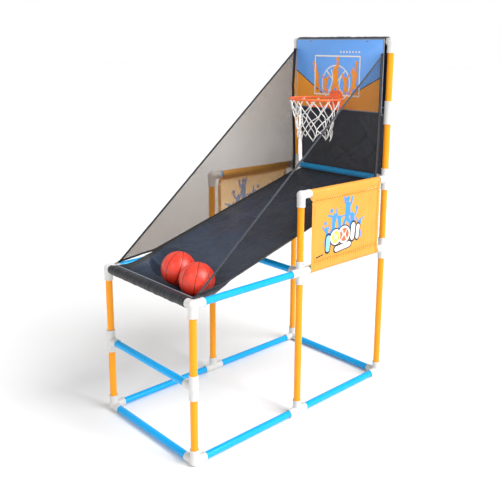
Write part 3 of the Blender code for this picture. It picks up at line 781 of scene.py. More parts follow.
def cover_point(u, row):
    """The sheet's middle surface at u across and a row of cover_rows()."""
    y, z, zone = row
    if zone in ("sleeve", "ramp"):
        ease = 1.0 if zone == "sleeve" else 1 - smooth_step((y - SEAM_Y) / 0.060)
        x = u * RAMP_HALF_WIDTH - (FRONT_SLEEVE_EXTRA * ease * (1 - u) / 2)
    else:
        rise = smooth_step((z - PANEL_Z) / 0.05)
        x = u * (mix(RAMP_HALF_WIDTH, BACK_HALF_WIDTH, rise)
                 + (TOP_HALF_WIDTH - BACK_HALF_WIDTH) * smooth_step((z - 0.90) / 0.12))
    if zone in ("sleeve", "top"):
        return sleeve_point(u, x, row)
    wander = ripple(x, y, z, 9)
    crinkle = 0.5 - abs(ripple(x, y, z, 17, 11)) - 0.5 * abs(ripple(x, y, z, 34, 26))
    inside = 1 - abs(u) ** 6
    if zone == "ramp":
        slit = smooth_step((y - SEAM_Y) / 0.05) * smooth_step((TRAY_REAR_Y - y) / 0.07)
        depth = pocket_depth(u, y) + slit * abs(u) ** 8 * (0.0075 if u < 0 else 0.003)
        run = smooth_step((y - TRAY_REAR_Y) / 0.12) * smooth_step((POST_Y - y) / 0.15)
        sag = 0.0045 * (1 - u * u) * run
        low = z - depth - sag
        near_bar = smooth_step((y - SEAM_Y) / 0.03)
        for crease in RAMP_CREASES:
            low += ridge(x, y, *crease) * inside
        low += (0.0034 * wander + 0.0058 * crinkle) * inside * near_bar
        pucker = math.exp(-(y - SEAM_Y) / 0.018) * 0.0012 * math.sin(x * math.tau / 0.017 + 7 * wander)
        low += pucker * inside * near_bar
        return Vector((x, y, under_balls(x, y, low)))
    push = (0.0012 * wander + 0.0048 * crinkle * smooth_step((z - PANEL_Z) / 0.05)) * inside
    if zone == "back":
        for crease in BACK_CREASES:
            push += ridge(x, z, *crease) * inside
    return Vector((x, y + push, z))


def strip(shape, edge, inner, normals, thick, kind=0):
    """A folded tape over a cloth edge: out over the edge, round it and back beneath."""
    rows = []
    for e, i, n in zip(edge, inner, normals):
        out = (e - i).normalized()
        rows.append([i + n * thick, e + n * thick, e + out * thick * 1.4 + n * thick * 0.4,
                     e + out * thick * 1.4 - n * thick * 0.4, e - n * thick, i - n * thick])
    shape.grid(rows, around=True, caps=True, kind=kind)


def stitches(shape, path, normals, pitch=0.0046, length=0.0031, radius=0.00033):
    """Short raised threads along a path."""
    carried = 0.0
    for a, b, n in zip(path, path[1:], normals):
        span = (b - a).length
        if span < 1e-6:
            continue
        along = (b - a) / span
        at = carried
        while at < span:
            start = a + along * at
            crown = start + along * length * 0.5 + n * radius * 1.2
            shape.sweep([start, crown, start + along * length], radius, 5)
            at += pitch
        carried = at - span


def path_normals(edge, beside):
    """Normals of a cloth edge from its points and those of a line beside it."""
    normals = []
    for i, point in enumerate(edge):
        along = edge[min(i + 1, len(edge) - 1)] - edge[max(i - 1, 0)]
        normals.append(along.cross(point - beside[i]).normalized())
    return normals


def build_cover():
    rows = cover_rows()
    # Columns stand a little closer towards the edges
    shares = [math.sin(u * math.pi / 2) * 0.25 + u * 0.75 for u in even(120, -1, 1)]
    grid = [[cover_point(u, row) for u in shares] for row in rows]
    shape = Shape()
    shape.grid(grid)
    length = lay_flat(shape, grid, rows, 0)
    cover = piece("cover_cloth", shape, NYLON_WITH_PAINTED_SHADE, replaces=["ball_ramp_cover"], slot="cover_cloth", sharp=None)
    thicken(cover, COVER_CLOTH, 0)

    # Side bindings from the tray's seam to the top sleeve, each over the raw edge
    bound = [row for row in rows if row[2] in ("ramp", "turn", "back")]
    hems, threads = Shape(), Shape()
    for sign in (-1, 1):
        edge = [cover_point(sign, row) for row in bound]
        inner = [cover_point(sign * (1 - BINDING_WIDTH / RAMP_HALF_WIDTH), row) for row in bound]
        normals = [n * sign for n in path_normals(edge, inner)]
        strip(hems, edge, inner, normals, 0.0012)
        line = [mix(e, i, 0.8) + n * 0.0013 for e, i, n in zip(edge, inner, normals)]
        stitches(threads, line, normals)

    # The front sleeve's seam allowance, a ridge along the bar whose lighter grey is a painted highlight
    # along the sleeve's top edge
    bead = ((-0.0034, 0.0006), (-0.0026, 0.0034), (0.0004, 0.0042), (0.0028, 0.0026), (0.0030, 0.0004))
    ridge_rows = []
    for k, u in enumerate(even(90, -0.995, 0.995)):
        base = cover_point(u, (SEAM_Y + 0.0005, SEAM_Z + 0.0006, "ramp"))
        wave = 0.0004 * math.sin(k * 1.7)
        ridge_rows.append([base + Vector((0, a, b + wave)) for a, b in bead])
    seam = Shape()
    seam.grid(ridge_rows, around=True, caps=True)
    piece("cover_front_seam", seam, SEAM_WITH_PAINTED_HIGHLIGHT, slot="cover_cloth")
    behind_seam = (SEAM_Y + 0.0045, SEAM_Z + 0.0011, "ramp")
    line = [cover_point(u, behind_seam) + AXES["Z"] * 0.0008 for u in even(200, -0.98, 0.98)]
    stitches(threads, line, [AXES["Z"]] * len(line))

    # Sleeve mouths: rolled hems round the front bar and the top bar
    for zone, centre, last in (("sleeve", (-POST_Y, DECK_Z), -290), ("top", (POST_Y, TOP_Z), 318)):
        for sign in (-1, 1):
            mouth = [cover_point(sign, (y, z, zone)) for y, z in arc(centre, SLEEVE_R, 2, last, 36)]
            hems.sweep(mouth, 0.0010, 6)
    hem_piece = piece("cover_bindings", hems, BINDING, slot="cover_cloth")
    thread_piece = piece("cover_stitching", threads, THREAD, slot="cover_cloth", sharp=None)


# ---------------------------------------------------------------- side nets


def dense(outline, step, closed=True):
    """A polyline with points no further than step apart."""
    points = []
    for a, b in zip(outline, outline[1:] + outline[:1] if closed else outline[1:]):
        count = max(1, math.ceil(math.dist(a, b) / step))
        points += [tuple(mix(a[i], b[i], k / count) for i in range(2)) for k in range(count)]
    if not closed:
        points.append(tuple(outline[-1]))
    return points


def inside_outline(point, outline):
    x, y = point
    found = False
    for (ax, ay), (bx, by) in zip(outline, outline[1:] + outline[:1]):
        if (ay > y) != (by > y) and x < (bx - ax) * (y - ay) / (by - ay) + ax:
            found = not found
    return found


def edge_distance(point, outline):
    best = 1e9
    p = Vector(point)
    for a, b in zip(outline, outline[1:] + outline[:1]):
        a, b = Vector(a), Vector(b)
        t = min(max((p - a).dot(b - a) / (b - a).length_squared, 0), 1)
        best = min(best, (p - a - (b - a) * t).length)
    return best


def net_plane(y, z):
    """The net's distance from the middle: it leans in to the ramp's edge, where it is sewn on."""
    ramp_z = TRAY_REAR_Z + (y - TRAY_REAR_Y) * RAMP_SLOPE
    lean = smooth_step((y + 0.335) / 0.035) * math.exp(-max(z - ramp_z, 0) / 0.045)
    return NET_X - (NET_X - RAMP_HALF_WIDTH - 0.0022) * lean


def net_offset(y, z, sign, outline):
    """Adds slack waves that die out at the hems."""
    slack = smooth_step(edge_distance((y, z), outline) / 0.07)
    wave = noise.noise(Vector((y * 5, z * 5, sign * 3)))
    fine = noise.noise(Vector((y * 16, z * 16, sign * 7)))
    return sign * (net_plane(y, z) + slack * (0.0028 * wave + 0.0010 * fine))


def build_net(side, sign):
    outline = NET_OUTLINES[side]
    boundary = dense(outline, NET_STEP)
    spots = [Vector(p) for p in boundary]
    low_y, high_y = min(p[0] for p in outline), max(p[0] for p in outline)
    low_z, high_z = min(p[1] for p in outline), max(p[1] for p in outline)
    z = low_z
    while z < high_z:
        y = low_y
        while y < high_y:
            if inside_outline((y, z), outline) and edge_distance((y, z), outline) > NET_STEP * 0.45:
                spots.append(Vector((y, z)))
            y += NET_STEP
        z += NET_STEP
    flat, _, faces, *_ = delaunay_2d_cdt(spots, [], [list(range(len(boundary)))], 1, 1e-6)
    shape = Shape()
    shape.add([(net_offset(p.x, p.y, sign, outline), p.x, p.y) for p in flat], faces)
    for k, p in enumerate(flat):
        shape.uvs[k] = (p.x, p.y)
    finish = LEFT_NET if side == "left" else RIGHT_NET
    net = piece(f"net_{side}", shape, finish, replaces=[f"{side}_side_net"], slot="net_mesh", sharp=None)
    net.visible_shadow = False  # so open a mesh hardly dims what stands behind it
    corners = outline + outline[:1]
    area = abs(sum(a[0] * b[1] - b[0] * a[1] for a, b in zip(corners, corners[1:]))) / 2

    # Hems: a folded tape along every edge
    hems, threads = Shape(), Shape()
    out = AXES["X"] * sign
    centre = Vector((0, *(sum(values) / len(outline) for values in zip(*outline))))
    for a, b in zip(corners, corners[1:]):
        edge, inner = [], []
        direction = Vector((0, b[0] - a[0], b[1] - a[1])).normalized()
        inward = Vector((0, -direction.z, direction.y))
        if inward.dot(centre - Vector((0, *a))) < 0:
            inward = -inward
        rear = min(a[0], b[0]) > 0.44
        width = 0.013 if rear else 0.0060
        for p in dense([a, b], 0.012, closed=False):
            wobble = 0.0005 * noise.noise(Vector((p[0] * 60, p[1] * 60, sign)))
            tip = Vector((0, p[0], p[1])) + inward * wobble
            root = tip + inward * width
            edge.append(tip + Vector((sign * net_plane(tip.y, tip.z), 0, 0)))
            inner.append(root + Vector((sign * net_plane(root.y, root.z), 0, 0)))
        slanted = abs(a[1] - b[1]) > 0.5 and not rear
        strip(hems, edge, inner, [AXES["X"]] * len(edge), 0.0011, int(slanted))
        line = [mix(e, i, 0.72) + out * 0.0012 for e, i in zip(edge, inner)]
        stitches(threads, line, [out] * len(line), pitch=0.0052)

    # Short ties to the mast and to the front bar
    ties = Shape()
    x = sign * NET_X
    for z in (outline[-1][1] - 0.004, 0.905):
        route = [(x, 0.458, z), (x + sign * 0.002, 0.464, z + 0.001), (x + sign * 0.006, 0.471, z + 0.001)]
        ties.sweep(route, 0.0014, 6)
    ties.sweep([(x, -0.4535, 0.5800), (x, -0.4600, 0.5800), (x, -0.4660, 0.5775)], 0.0015, 6)
    tapes = [BINDING, HEM if side == "right" else BINDING]
    hem_piece = piece(f"net_{side}_hems", hems, tapes, slot="net_mesh")
    thread_piece = piece(f"net_{side}_stitching", threads, THREAD, slot="net_mesh", sharp=None)
    tie_piece = piece(f"net_{side}_ties", ties, BINDING, slot="net_mesh")


# ---------------------------------------------------------------- prints


def stroke(points, width):
    """Polygons that cover a line of the given width; width may be a pair for a taper."""
    polygons = []
    first, last = width if isinstance(width, tuple) else (width, width)
    total = len(points) - 1
    for k in range(total):
        a, b = Vector(points[k]), Vector(points[k + 1])
        wa, wb = mix(first, last, k / total) / 2, mix(first, last, (k + 1) / total) / 2
        along = (b - a).normalized()
        side = Vector((-along.y, along.x))
        polygons.append([a + side * wa, a - side * wa, b - side * wb, b + side * wb])
    for k, p in enumerate(points):
        r = mix(first, last, k / total) / 2
        polygons += disc(p, r, 10)
    return polygons


def disc(centre, radius, count=28):
    return [[Vector(centre) + Vector((radius * math.cos(t), radius * math.sin(t))) for t in turns(count)]]


def ring_line(centre, radius, width, first=0, last=360, count=40):
    return stroke(arc(centre, radius, first, last, count), width)


def figure(foot, height, lean=0.0, arms=((70, 100), (110, 80)), legs=(-14, 16)):
    """A plain player silhouette: angles in degrees, arms as (upper, lower) from the right."""
    h = height
    hip = (foot[0], foot[1] + 0.40 * h)
    neck = away(hip, 0.28 * h, 90 - lean)
    head = away(neck, 0.085 * h, 90 - lean)
    made = stroke([hip, neck], (0.15 * h, 0.21 * h)) + disc(head, 0.068 * h, 14)
    for upper, lower in arms:
        elbow = away(neck, 0.16 * h, upper)
        hand = away(elbow, 0.17 * h, lower)
        made += stroke([neck, elbow, hand], (0.095 * h, 0.055 * h))
    for leg in legs:
        knee = away(hip, 0.21 * h, -90 + leg * 1.7)
        ankle = away(knee, 0.21 * h, -90 + leg * 0.3)
        made += stroke([hip, knee, ankle], (0.13 * h, 0.06 * h))
    return made


def patch(shape, polygons, place, kind, cell=0.0035):
    """Adds the union of flat polygons, laid on a surface by place(u, v) at points cell metres apart."""
    spots, loops = [], []
    for polygon in polygons:
        turn = sum(a[0] * b[1] - b[0] * a[1] for a, b in zip(polygon, polygon[1:] + polygon[:1]))
        ring = dense([tuple(p) for p in (polygon if turn > 0 else polygon[::-1])], cell)
        loops.append(list(range(len(spots), len(spots) + len(ring))))
        spots += [Vector(p) for p in ring]
    low_x, high_x = min(p.x for p in spots), max(p.x for p in spots)
    low_y, high_y = min(p.y for p in spots), max(p.y for p in spots)
    for j in range(1, int((high_y - low_y) / cell)):
        for i in range(1, int((high_x - low_x) / cell)):
            spots.append(Vector((low_x + i * cell, low_y + j * cell)))
    flat, _, faces, _, _, sources = delaunay_2d_cdt(spots, [], loops, 0, 1e-6)
    covered = [face for face, source in zip(faces, sources) if source]
    used = {index: k for k, index in enumerate(sorted({index for face in covered for index in face}))}
    points = [place(flat[index].x, flat[index].y) for index in used]
    shape.add(points, [[used[index] for index in face] for face in covered], kind)


def basketball_lines(centre, radius, width):
    x, z = centre
    made = ring_line(centre, radius, width)
    made += ring_line((x - radius * 1.30, z + radius * 0.30), radius * 1.05, width, -42, 26, 14)
    made += ring_line((x + radius * 1.30, z - radius * 0.10), radius * 1.05, width, 142, 214, 14)
    made += stroke([(x - radius * 0.70, z + radius * 0.70), (x + radius * 0.70, z - radius * 0.70)], width)
    made += stroke([(x - radius * 0.68, z - radius * 0.70), (x + radius * 0.66, z + radius * 0.72)], width)
    return made


# ---------------------------------------------------------------- side panels


def panel_profile():
    """The cloth's line as (out, z, slack): from the seam behind the top tube down to the one below."""
    rows = [(0.0118, PANEL_Z - 0.0265, 0.2), (0.0020, PANEL_Z - 0.0185, 0.6)]
    rows += [(a, b, 1.0) for a, b in arc((0, PANEL_Z), PANEL_SLEEVE_R, 245, 0, 22)]
    for t in even(90)[1:-1]:
        rows.append((PANEL_SLEEVE_R - 0.0012 * math.sin(math.pi * t), mix(PANEL_Z, DECK_Z, t), 1.0))
    rows += [(a, b, 1.0) for a, b in arc((0, DECK_Z), PANEL_SLEEVE_R, 0, -245, 22)]
    return rows + [(0.0020, DECK_Z + 0.0185, 0.6), (0.0118, DECK_Z + 0.0265, 0.2)]


def panel_relief(y, z):
    """Puckers that radiate from the two sleeve seams, and slow waves between them."""
    up = abs(z - (PANEL_Z - SLEEVE_SEAM))
    down = abs(z - (DECK_Z + SLEEVE_SEAM))
    wander = noise.noise(Vector((y * 14, z * 14, 2)))
    above = math.exp(-up / 0.012) * math.sin((y + 0.9 * (z - PANEL_Z)) * math.tau / 0.0145 + 3.6 * wander)
    below = math.exp(-down / 0.015) * math.sin(y * math.tau / 0.0125 + 2.6 * wander)
    seam = -0.0018 * (math.exp(-((up / 0.0022) ** 2)) + math.exp(-((down / 0.0022) ** 2)))
    middle = 0.0034 * noise.noise(Vector((y * 9, z * 2.5, 5)))
    rear = PANEL_REAR_Y - y
    folds = 0.0016 * math.exp(-max(rear, 0) / 0.045) * math.sin(rear * math.tau / 0.026 + 2 * wander)
    return 0.0024 * above + 0.0028 * below + seam + middle + folds


def panel_place(sign, out, y, z):
    return Vector((sign * (POST_X + out), y, z))


def build_panel(side, sign):
    profile = panel_profile()
    columns = 190
    grid = []
    for out, z, slack in profile:
        centre_z = PANEL_Z if z > PANEL_MIDDLE_Z else DECK_Z
        pull = 0.0022 * math.sin(math.pi * (z - DECK_Z) / (PANEL_Z - DECK_Z)) if DECK_Z < z < PANEL_Z else 0
        top_pull = 0.0095 * smooth_step(1 - abs(z - PANEL_Z) / 0.06) if sign < 0 else 0
        row = []
        for y in even(columns, PANEL_FRONT_Y, PANEL_REAR_Y):
            fade = math.exp(-min(y - PANEL_FRONT_Y, PANEL_REAR_Y - y) / 0.05)
            inward = 1 if y < PANEL_MIDDLE_Y else -1
            inset = pull * fade * inward + top_pull * fade * inward
            lift = panel_relief(y, z) * slack * (0.3 if abs(out) < PANEL_SLEEVE_R - 0.0022 else 1)
            if abs(z - centre_z) < 0.013:  # round a tube
                scale = 1 + max(lift, -0.0002) / PANEL_SLEEVE_R
                row.append(panel_place(sign, out * scale, y + inset, centre_z + (z - centre_z) * scale))
            else:
                row.append(panel_place(sign, out + lift, y + inset, z))
        grid.append(row if sign < 0 else row[::-1])
    shape = Shape()
    shape.grid(grid)
    length = lay_flat(shape, grid, profile, 1)
    panel = piece(
        f"panel_{side}", shape, [PANEL, PANEL_BACK_WITH_PAINTED_GLOW, PANEL], replaces=[f"{side}_side_panel"],
        slot="panel_cloth", sharp=None,
    )
    solid = thicken(panel, PANEL_CLOTH, -1)
    solid.material_offset = 1
    solid.material_offset_rim = 2

    def surface(lift, shift=PRINT_SHIFT):
        def place(u, z):
            y = PANEL_MIDDLE_Y + shift + u * sign
            height = (z - DECK_Z) / (PANEL_Z - DECK_Z)
            out = PANEL_SLEEVE_R - 0.0012 * math.sin(math.pi * height) + panel_relief(y, z)
            return panel_place(sign, out + lift, y, z)

        return place

    # Print: cheering players above a banner with two balls
    ink = Shape()
    middle = PANEL_MIDDLE_Z
    crowd = []
    for u, v, height, lean, *arms in (
        (-0.080, -0.004, 0.088, -14, (20, 75), (165, 120)),
        (-0.046, 0.014, 0.118, 8, (48, 88), (150, 165)),
        (-0.010, 0.020, 0.098, -6, (30, 10), (140, 100)),
        (0.028, 0.032, 0.140, 5, (35, 80), (128, 104)),
        (0.066, 0.008, 0.116, -12, (18, 62), (145, 95)),
        (0.100, -0.006, 0.092, 14, (50, 20), (160, 120)),
    ):
        crowd += figure((u, middle - 0.060 + v), height, lean, arms, (-20, 22))
    thrown = (
        (-0.058, 0.082, 0.0085), (0.030, 0.116, 0.0105), (0.084, 0.074, 0.0085), (-0.092, 0.040, 0.0070)
    )
    for u, v, r in thrown:
        crowd += disc((u, middle + v - 0.018), r, 18)
    patch(ink, crowd, surface(0.0005), 0)
    balls = [(-0.033, middle - 0.040, 0.030), (0.014, middle - 0.038, 0.034)]
    letters = [
        (-0.078, middle - 0.058, 0.026),
        (0.062, middle - 0.034, 0.028),
        (0.092, middle - 0.040, 0.024),
    ]
    outline = []
    for u, v, r in balls:
        outline += disc((u, v), r + 0.0045)
    for u, v, r in letters:
        outline += stroke([(u, v - r * 0.9), (u + 0.004, v + r * 0.9)], (r * 1.2, r * 1.3))
    outline += stroke([(-0.030, middle - 0.088), (0.046, middle - 0.080)], 0.030)
    patch(ink, outline, surface(0.0008), 1)
    fill = []
    for u, v, r in letters[1:]:
        fill += stroke([(u, v - r * 0.82), (u + 0.004, v + r * 0.82)], (r * 0.8, r * 0.9))
    fill += stroke([(-0.028, middle - 0.088), (0.044, middle - 0.080)], 0.021)
    for u, v, r in balls:
        fill += disc((u, v), r)
    patch(ink, fill, surface(0.0011), 2)
    u, v, _ = letters[0]
    patch(ink, stroke([(u, v - 0.020), (u + 0.004, v + 0.020)], (0.022, 0.024)), surface(0.0011), 3)
    for (u, v, r), kind in zip(balls, (4, 5)):
        patch(ink, disc((u, v), r * 0.84), surface(0.0014), kind)
        patch(ink, basketball_lines((u, v), r * 0.80, r * 0.09), surface(0.0017), 2)
    dashes = []
    for k in range(3):
        u, v = k * 0.014, middle + k * 0.002
        dashes += stroke([(-0.140 + u, v - 0.100), (-0.132 + u, v - 0.099)], 0.005)
    patch(ink, dashes, surface(0.0008), 1)
    inks = [INK_BLUE, INK_DARK, INK_WHITE, INK_SKY, INK_YELLOW, INK_RED]
    print_piece = piece(f"panel_{side}_print", ink, inks, slot="panel_cloth", sharp=None)
    back = Shape()
    patch(back, crowd + outline, surface(-0.0013), 0)
    back_piece = piece(f"panel_{side}_print_back", back, INK_FAINT, slot="panel_cloth", sharp=None)

    # Side hems, sleeve mouths and the two channel seams, each with a darker cord below it as painted shade
    # in its crease
    hems, threads = Shape(), Shape()
    outward = AXES["X"] * sign
    for end, near in ((0, 6), (columns, columns - 6))[::-sign]:
        edge = [row[end] for row in grid[24:-24]]
        inner = [row[near] for row in grid[24:-24]]
        strip(hems, edge, inner, [outward] * len(edge), 0.0009)
        line = [mix(e, i, 0.8) + outward * 0.0011 for e, i in zip(edge, inner)]
        stitches(threads, line, [outward] * len(line))
        for part in (grid[2:26], grid[-26:-2]):
            hems.sweep([row[end] for row in part], 0.0008, 6)
    for z in (PANEL_Z - SLEEVE_SEAM, DECK_Z + SLEEVE_SEAM):
        line = [surface(0.0006, 0)(u, z) for u in even(159, -0.192, 0.192)]
        stitches(threads, line, [outward] * len(line), pitch=0.004)
        # Painted shade: a thin darker cord just below the seam darkens its crease.
        hems.sweep([p - Vector((sign * 0.0004, 0, 0.0016)) for p in line], 0.0007, 5, kind=1)
    hem_piece = piece(f"panel_{side}_hems", hems, [PANEL, PANEL_SEAM_PAINTED_SHADE], slot="panel_cloth")
    thread_piece = piece(f"panel_{side}_stitching", threads, ORANGE_THREAD, slot="panel_cloth", sharp=None)


# ---------------------------------------------------------------- backboard


def build_board():
    shape = Shape()
    hw, r, middle_z = BOARD_HALF_WIDTH, BOARD_EDGE_WIDTH, 1.2495
    outline = []
    for cx, cz, start in ((hw - r, BOARD_TOP_Z - r, 0), (-hw + r, BOARD_TOP_Z - r, 90),
                          (-hw + r, BOARD_BOTTOM_Z + r, 180), (hw - r, BOARD_BOTTOM_Z + r, 270)):
        outline += arc((cx, cz), r, start, start + 90, 6)
    front, rear = BOARD_FRONT_Y, BOARD_FRONT_Y + BOARD_THICKNESS
    levels = ((front, 0.998), (front + 0.0004, 1.0), (rear - 0.0004, 1.0), (rear, 0.998))
    rows = [[Vector((x * s, y, (z - middle_z) * s + middle_z)) for x, z in outline] for y, s in levels]
    shape.grid(rows, around=True, caps=True)
    piece("backboard_panel", shape, BOARD_BLUE, replaces=["backboard"], slot="board_print")

    ink = Shape()

    def lay(polygons, lift, kind):
        patch(ink, polygons, lambda x, z: (x, front - lift, z), kind, cell=0.03)

    low, high = BOARD_BOTTOM_Z + r, BOARD_TOP_Z - r
    left, right = -hw + r, hw - r
    left_dip, right_dip = (-0.078, 1.170), (0.078, 1.170)
    left_top, right_top = (left, 1.262), (right, 1.247)
    lower = [Vector(p) for p in ((left, low), (right, low), right_top, right_dip, left_dip, left_top)]
    lay([lower], 0.00025, 0)
    lines = stroke([left_top, left_dip], 0.0035) + stroke([right_dip, right_top], 0.0035)
    lay(lines, 0.0005, 1)
    centre = (-0.004, 1.212)
    lay(basketball_lines(centre, 0.074, 0.0052), 0.00075, 2)
    players = []
    for x, z, height, lean, *arms in (
        (-0.108, 1.166, 0.118, -6, (100, 92), (128, 112)),
        (-0.062, 1.160, 0.092, 10, (40, 65), (150, 120)),
        (-0.006, 1.158, 0.150, 0, (72, 86), (62, 94)),
        (0.050, 1.160, 0.098, -8, (40, 62), (140, 100)),
        (0.092, 1.164, 0.126, 6, (82, 72), (150, 60)),
    ):
        players += figure((x, z), height, lean, arms, (-16, 18))
    players += disc((-0.128, 1.292), 0.0075) + disc((0.004, 1.312), 0.0085) + disc((0.103, 1.297), 0.0075)
    lay(players, 0.0010, 3)
    square = [(-0.120, 1.166), (0.120, 1.166), (0.120, 1.323), (-0.120, 1.323), (-0.120, 1.166)]
    lay(stroke(square, 0.0060), 0.00125, 2)
    row = [polygon for k in range(7) for polygon in disc((0.018 + 0.016 * k, 1.340), 0.0042, 16)]
    lay(row, 0.0005, 2)
    inks = [BOARD_ORANGE, INK_DARK, INK_WHITE, INK_ORANGE]
    piece("backboard_print", ink, inks, slot="board_print", sharp=None)

    trim = Shape()
    corners = [(-hw, BOARD_BOTTOM_Z), (hw, BOARD_BOTTOM_Z), (hw, BOARD_TOP_Z), (-hw, BOARD_TOP_Z)]
    inner = [(left, low), (right, low), (right, high), (left, high)]
    t = 0.0006
    rows = [
        [Vector(p) for p in ((ix, front - t, iz), (x, front - t, z), (x * 1.001, front + 0.001, z),
                             (x, rear + t, z), (ix, rear + t, iz))]
        for (x, z), (ix, iz) in zip(corners, inner)
    ]
    trim.grid(rows, around=True, loop=True)
    piece("backboard_edge", trim, BOARD_EDGE, slot="board_print")
    eyelets = Shape()
    for x in (-0.152, 0.152):
        screw(eyelets, (x, front - 0.0004, 1.3825), (0, -1, 0), 0.0034)
    piece("backboard_screws", eyelets, [STEEL, DARK_STEEL], slot="board_print")
    # Short pale ties from the rear hems of the nets to the masts
    laces = Shape()
    for s in SIDES.values():
        for z in (1.100, 1.128):
            route = [(0.2335, 0.4575, z), (0.2372, 0.4630, z + 0.002), (0.2385, 0.4705, z + 0.001)]
            laces.sweep([(s * x, y, z) for x, y, z in route], 0.0014, 6)
    piece("backboard_ties", laces, THREAD, slot="cover_cloth")


# ---------------------------------------------------------------- hoop


def build_rim():
    shape = Shape()
    hub = Vector((0, RING_Y, RING_Z))
    rows = []
    for a in turns(96):
        out = Vector((math.cos(a), math.sin(a), 0))
        rows.append([
            hub + out * (RING_R + RING_WIRE_R * math.cos(b)) + AXES["Z"] * (RING_WIRE_R * math.sin(b))
            for b in turns(16)
        ])
    shape.grid(rows, around=True, loop=True)
    wall = BOARD_FRONT_Y - 0.0014
    plate = PLATE_OUTLINE + [(-x, z) for x, z in reversed(PLATE_OUTLINE)]
    middle_z = 1.143
    levels = ((0, 1), (0.0030, 1), (0.0042, 0.955), (0.0034, 0.90), (0.0034, 0.60))
    rows = [[Vector((x * s, wall - y, middle_z + (z - middle_z) * s)) for x, z in plate] for y, s in levels]
    shape.grid(rows, around=True, caps=True)
    # Neck between plate and ring, widening to the plate
    rows = []
    for t in even(10):
        y = mix(RING_Y + RING_R - 0.003, wall - 0.002, t)
        flare = t * t
        half, low, high = mix(0.018, 0.028, flare), mix(1.1515, 1.126, flare), mix(1.1585, 1.176, flare)
        ring = []
        for a in turns(24):
            across, up = (math.copysign(abs(c) ** 0.5, c) for c in (math.cos(a), math.sin(a)))
            ring.append(Vector((half * across, y, (low + high) / 2 + (high - low) / 2 * up)))
        rows.append(ring)
    shape.grid(rows, around=True, caps=True)
    # Ribs on the neck
    for x in (-0.014, 0.0, 0.014):
        path = [(x, mix(RING_Y + RING_R, wall - 0.004, t), mix(1.1595, 1.1765, t * t)) for t in even(8)]
        shape.sweep(path, 0.0012, 8)
    # Braces under the ring
    for s in SIDES.values():
        path = []
        for t in even(18):
            x, y = away((0, RING_Y), mix(0.1215, RING_R, t), mix(79, 35, t))
            path.append(Vector((s * x, y, 1.117)))
        rows = []
        for k, p in enumerate(path):
            along = path[min(k + 1, 18)] - path[max(k - 1, 0)]
            side = Vector((-along.y, along.x, 0)).normalized()
            rows.append([
                p + side * (0.0017 * math.cos(a)) + AXES["Z"] * (0.0042 * math.sin(a)) for a in turns(12)
            ])
        shape.grid(rows, around=True, caps=True)
        foot = path[-1]
        shape.sweep([(foot.x, foot.y, z) for z in (1.1125, 1.130, RING_Z - 0.002)], 0.0030, 12)
    # Hooks that carry the net
    hook = ((0.0, -0.0030), (0.0006, -0.0068), (-0.0012, -0.0090), (-0.0036, -0.0084), (-0.0046, -0.0060))
    for a in turns(NET_LOOPS, 0.5):
        out = Vector((math.cos(a), math.sin(a), 0))
        base = hub + out * RING_R
        shape.sweep([base + out * r + AXES["Z"] * z for r, z in hook], 0.0011, 8)
    piece("hoop_rim", shape, CORAL, replaces=["rim"], slot="rim_plastic", sharp=40)
    screws = Shape()
    for x, z in ((-0.017, 1.176), (0.017, 1.176), (0.0, 1.112)):
        screw(screws, (x, wall - 0.0036, z), (0, -1, 0), 0.0030)
    piece("hoop_screws", screws, [STEEL, DARK_STEEL], slot="rim_plastic")


def build_hoop_net():
    """Knotted cord: each level's knots sit between those above, with loops at the top and bottom."""
    shape = Shape()
    wobble = random.Random(11)
    knots = []
    for level, (radius, z) in enumerate(NET_LEVELS):
        loose = min(level, 3)
        row = []
        for k in range(NET_LOOPS):
            place = math.tau * (k + 0.5 * (level % 2) + 0.5) / NET_LOOPS
            a = place + wobble.uniform(-0.17, 0.17) * loose / 3
            r = radius + wobble.uniform(-0.0050, 0.0040) * loose / 3
            drop = wobble.uniform(-0.004, 0.012) * loose / 3
            row.append(Vector((r * math.cos(a), RING_Y + r * math.sin(a), z + drop)))
        knots.append(row)

    def strand(a, b, bow):
        middle = (a + b) / 2
        out = Vector((middle.x, middle.y - RING_Y, 0)).normalized()
        across = Vector((-out.y, out.x, 0))
        points = []
        for t in even(6):
            sag = math.sin(math.pi * t)
            bulge = out * (0.0022 * sag + 0.0022 * bow * sag)
            points.append(a.lerp(b, t) + bulge + across * (0.0058 * sag * bow))
        return points

    for level in range(len(knots) - 1):
        for k in range(NET_LOOPS):
            first = k - 1 + level % 2
            for other in (first, first + 1):
                low = knots[level + 1][other % NET_LOOPS]
                shape.sweep(strand(knots[level][k], low, wobble.uniform(-1, 1)), NET_CORD_R, 6)
    knot = [(0.0022 * math.sin(a) + TINY, -0.0026 * math.cos(a)) for a in even(6, 0, math.pi)]
    for p in sum(knots[1:-1], []):
        shape.turned(knot, Matrix.Translation(p), 8, closed=False)
    for p in knots[0]:
        out = Vector((p.x, p.y - RING_Y, 0)).normalized()
        side = Vector((-out.y, out.x, 0))
        loop = [
            p + side * (0.0030 * math.sin(a)) + Vector((0, 0, 0.0035 - 0.0045 * math.cos(a)))
            + out * (0.0030 + 0.0018 * math.sin(a)) for a in turns(14)
        ]
        shape.sweep(loop, NET_CORD_R, 6, loop=True)
    for p in knots[-1]:
        twist = wobble.uniform(-0.5, 0.5)
        out = Vector((p.x, p.y - RING_Y, 0)).normalized()
        side = Vector((-out.y, out.x, 0))
        tail = [p, p + side * 0.002 * twist + Vector((0, 0, -0.003)) + out * 0.001]
        shape.sweep(tail, lambda t: NET_CORD_R * (1 - 0.3 * t), 6)
    piece("hoop_net_cords", shape, CORD, replaces=["hoop_net"], slot="net_cord", sharp=None)


# ---------------------------------------------------------------- balls


def seam_distance(p):
    """Distance from a ball's seam lines in ball radii, at a point of the unit sphere."""
    return min(abs(p.x), abs(p.y), abs(abs(p.x) - abs(p.y)) * math.sqrt(0.5))


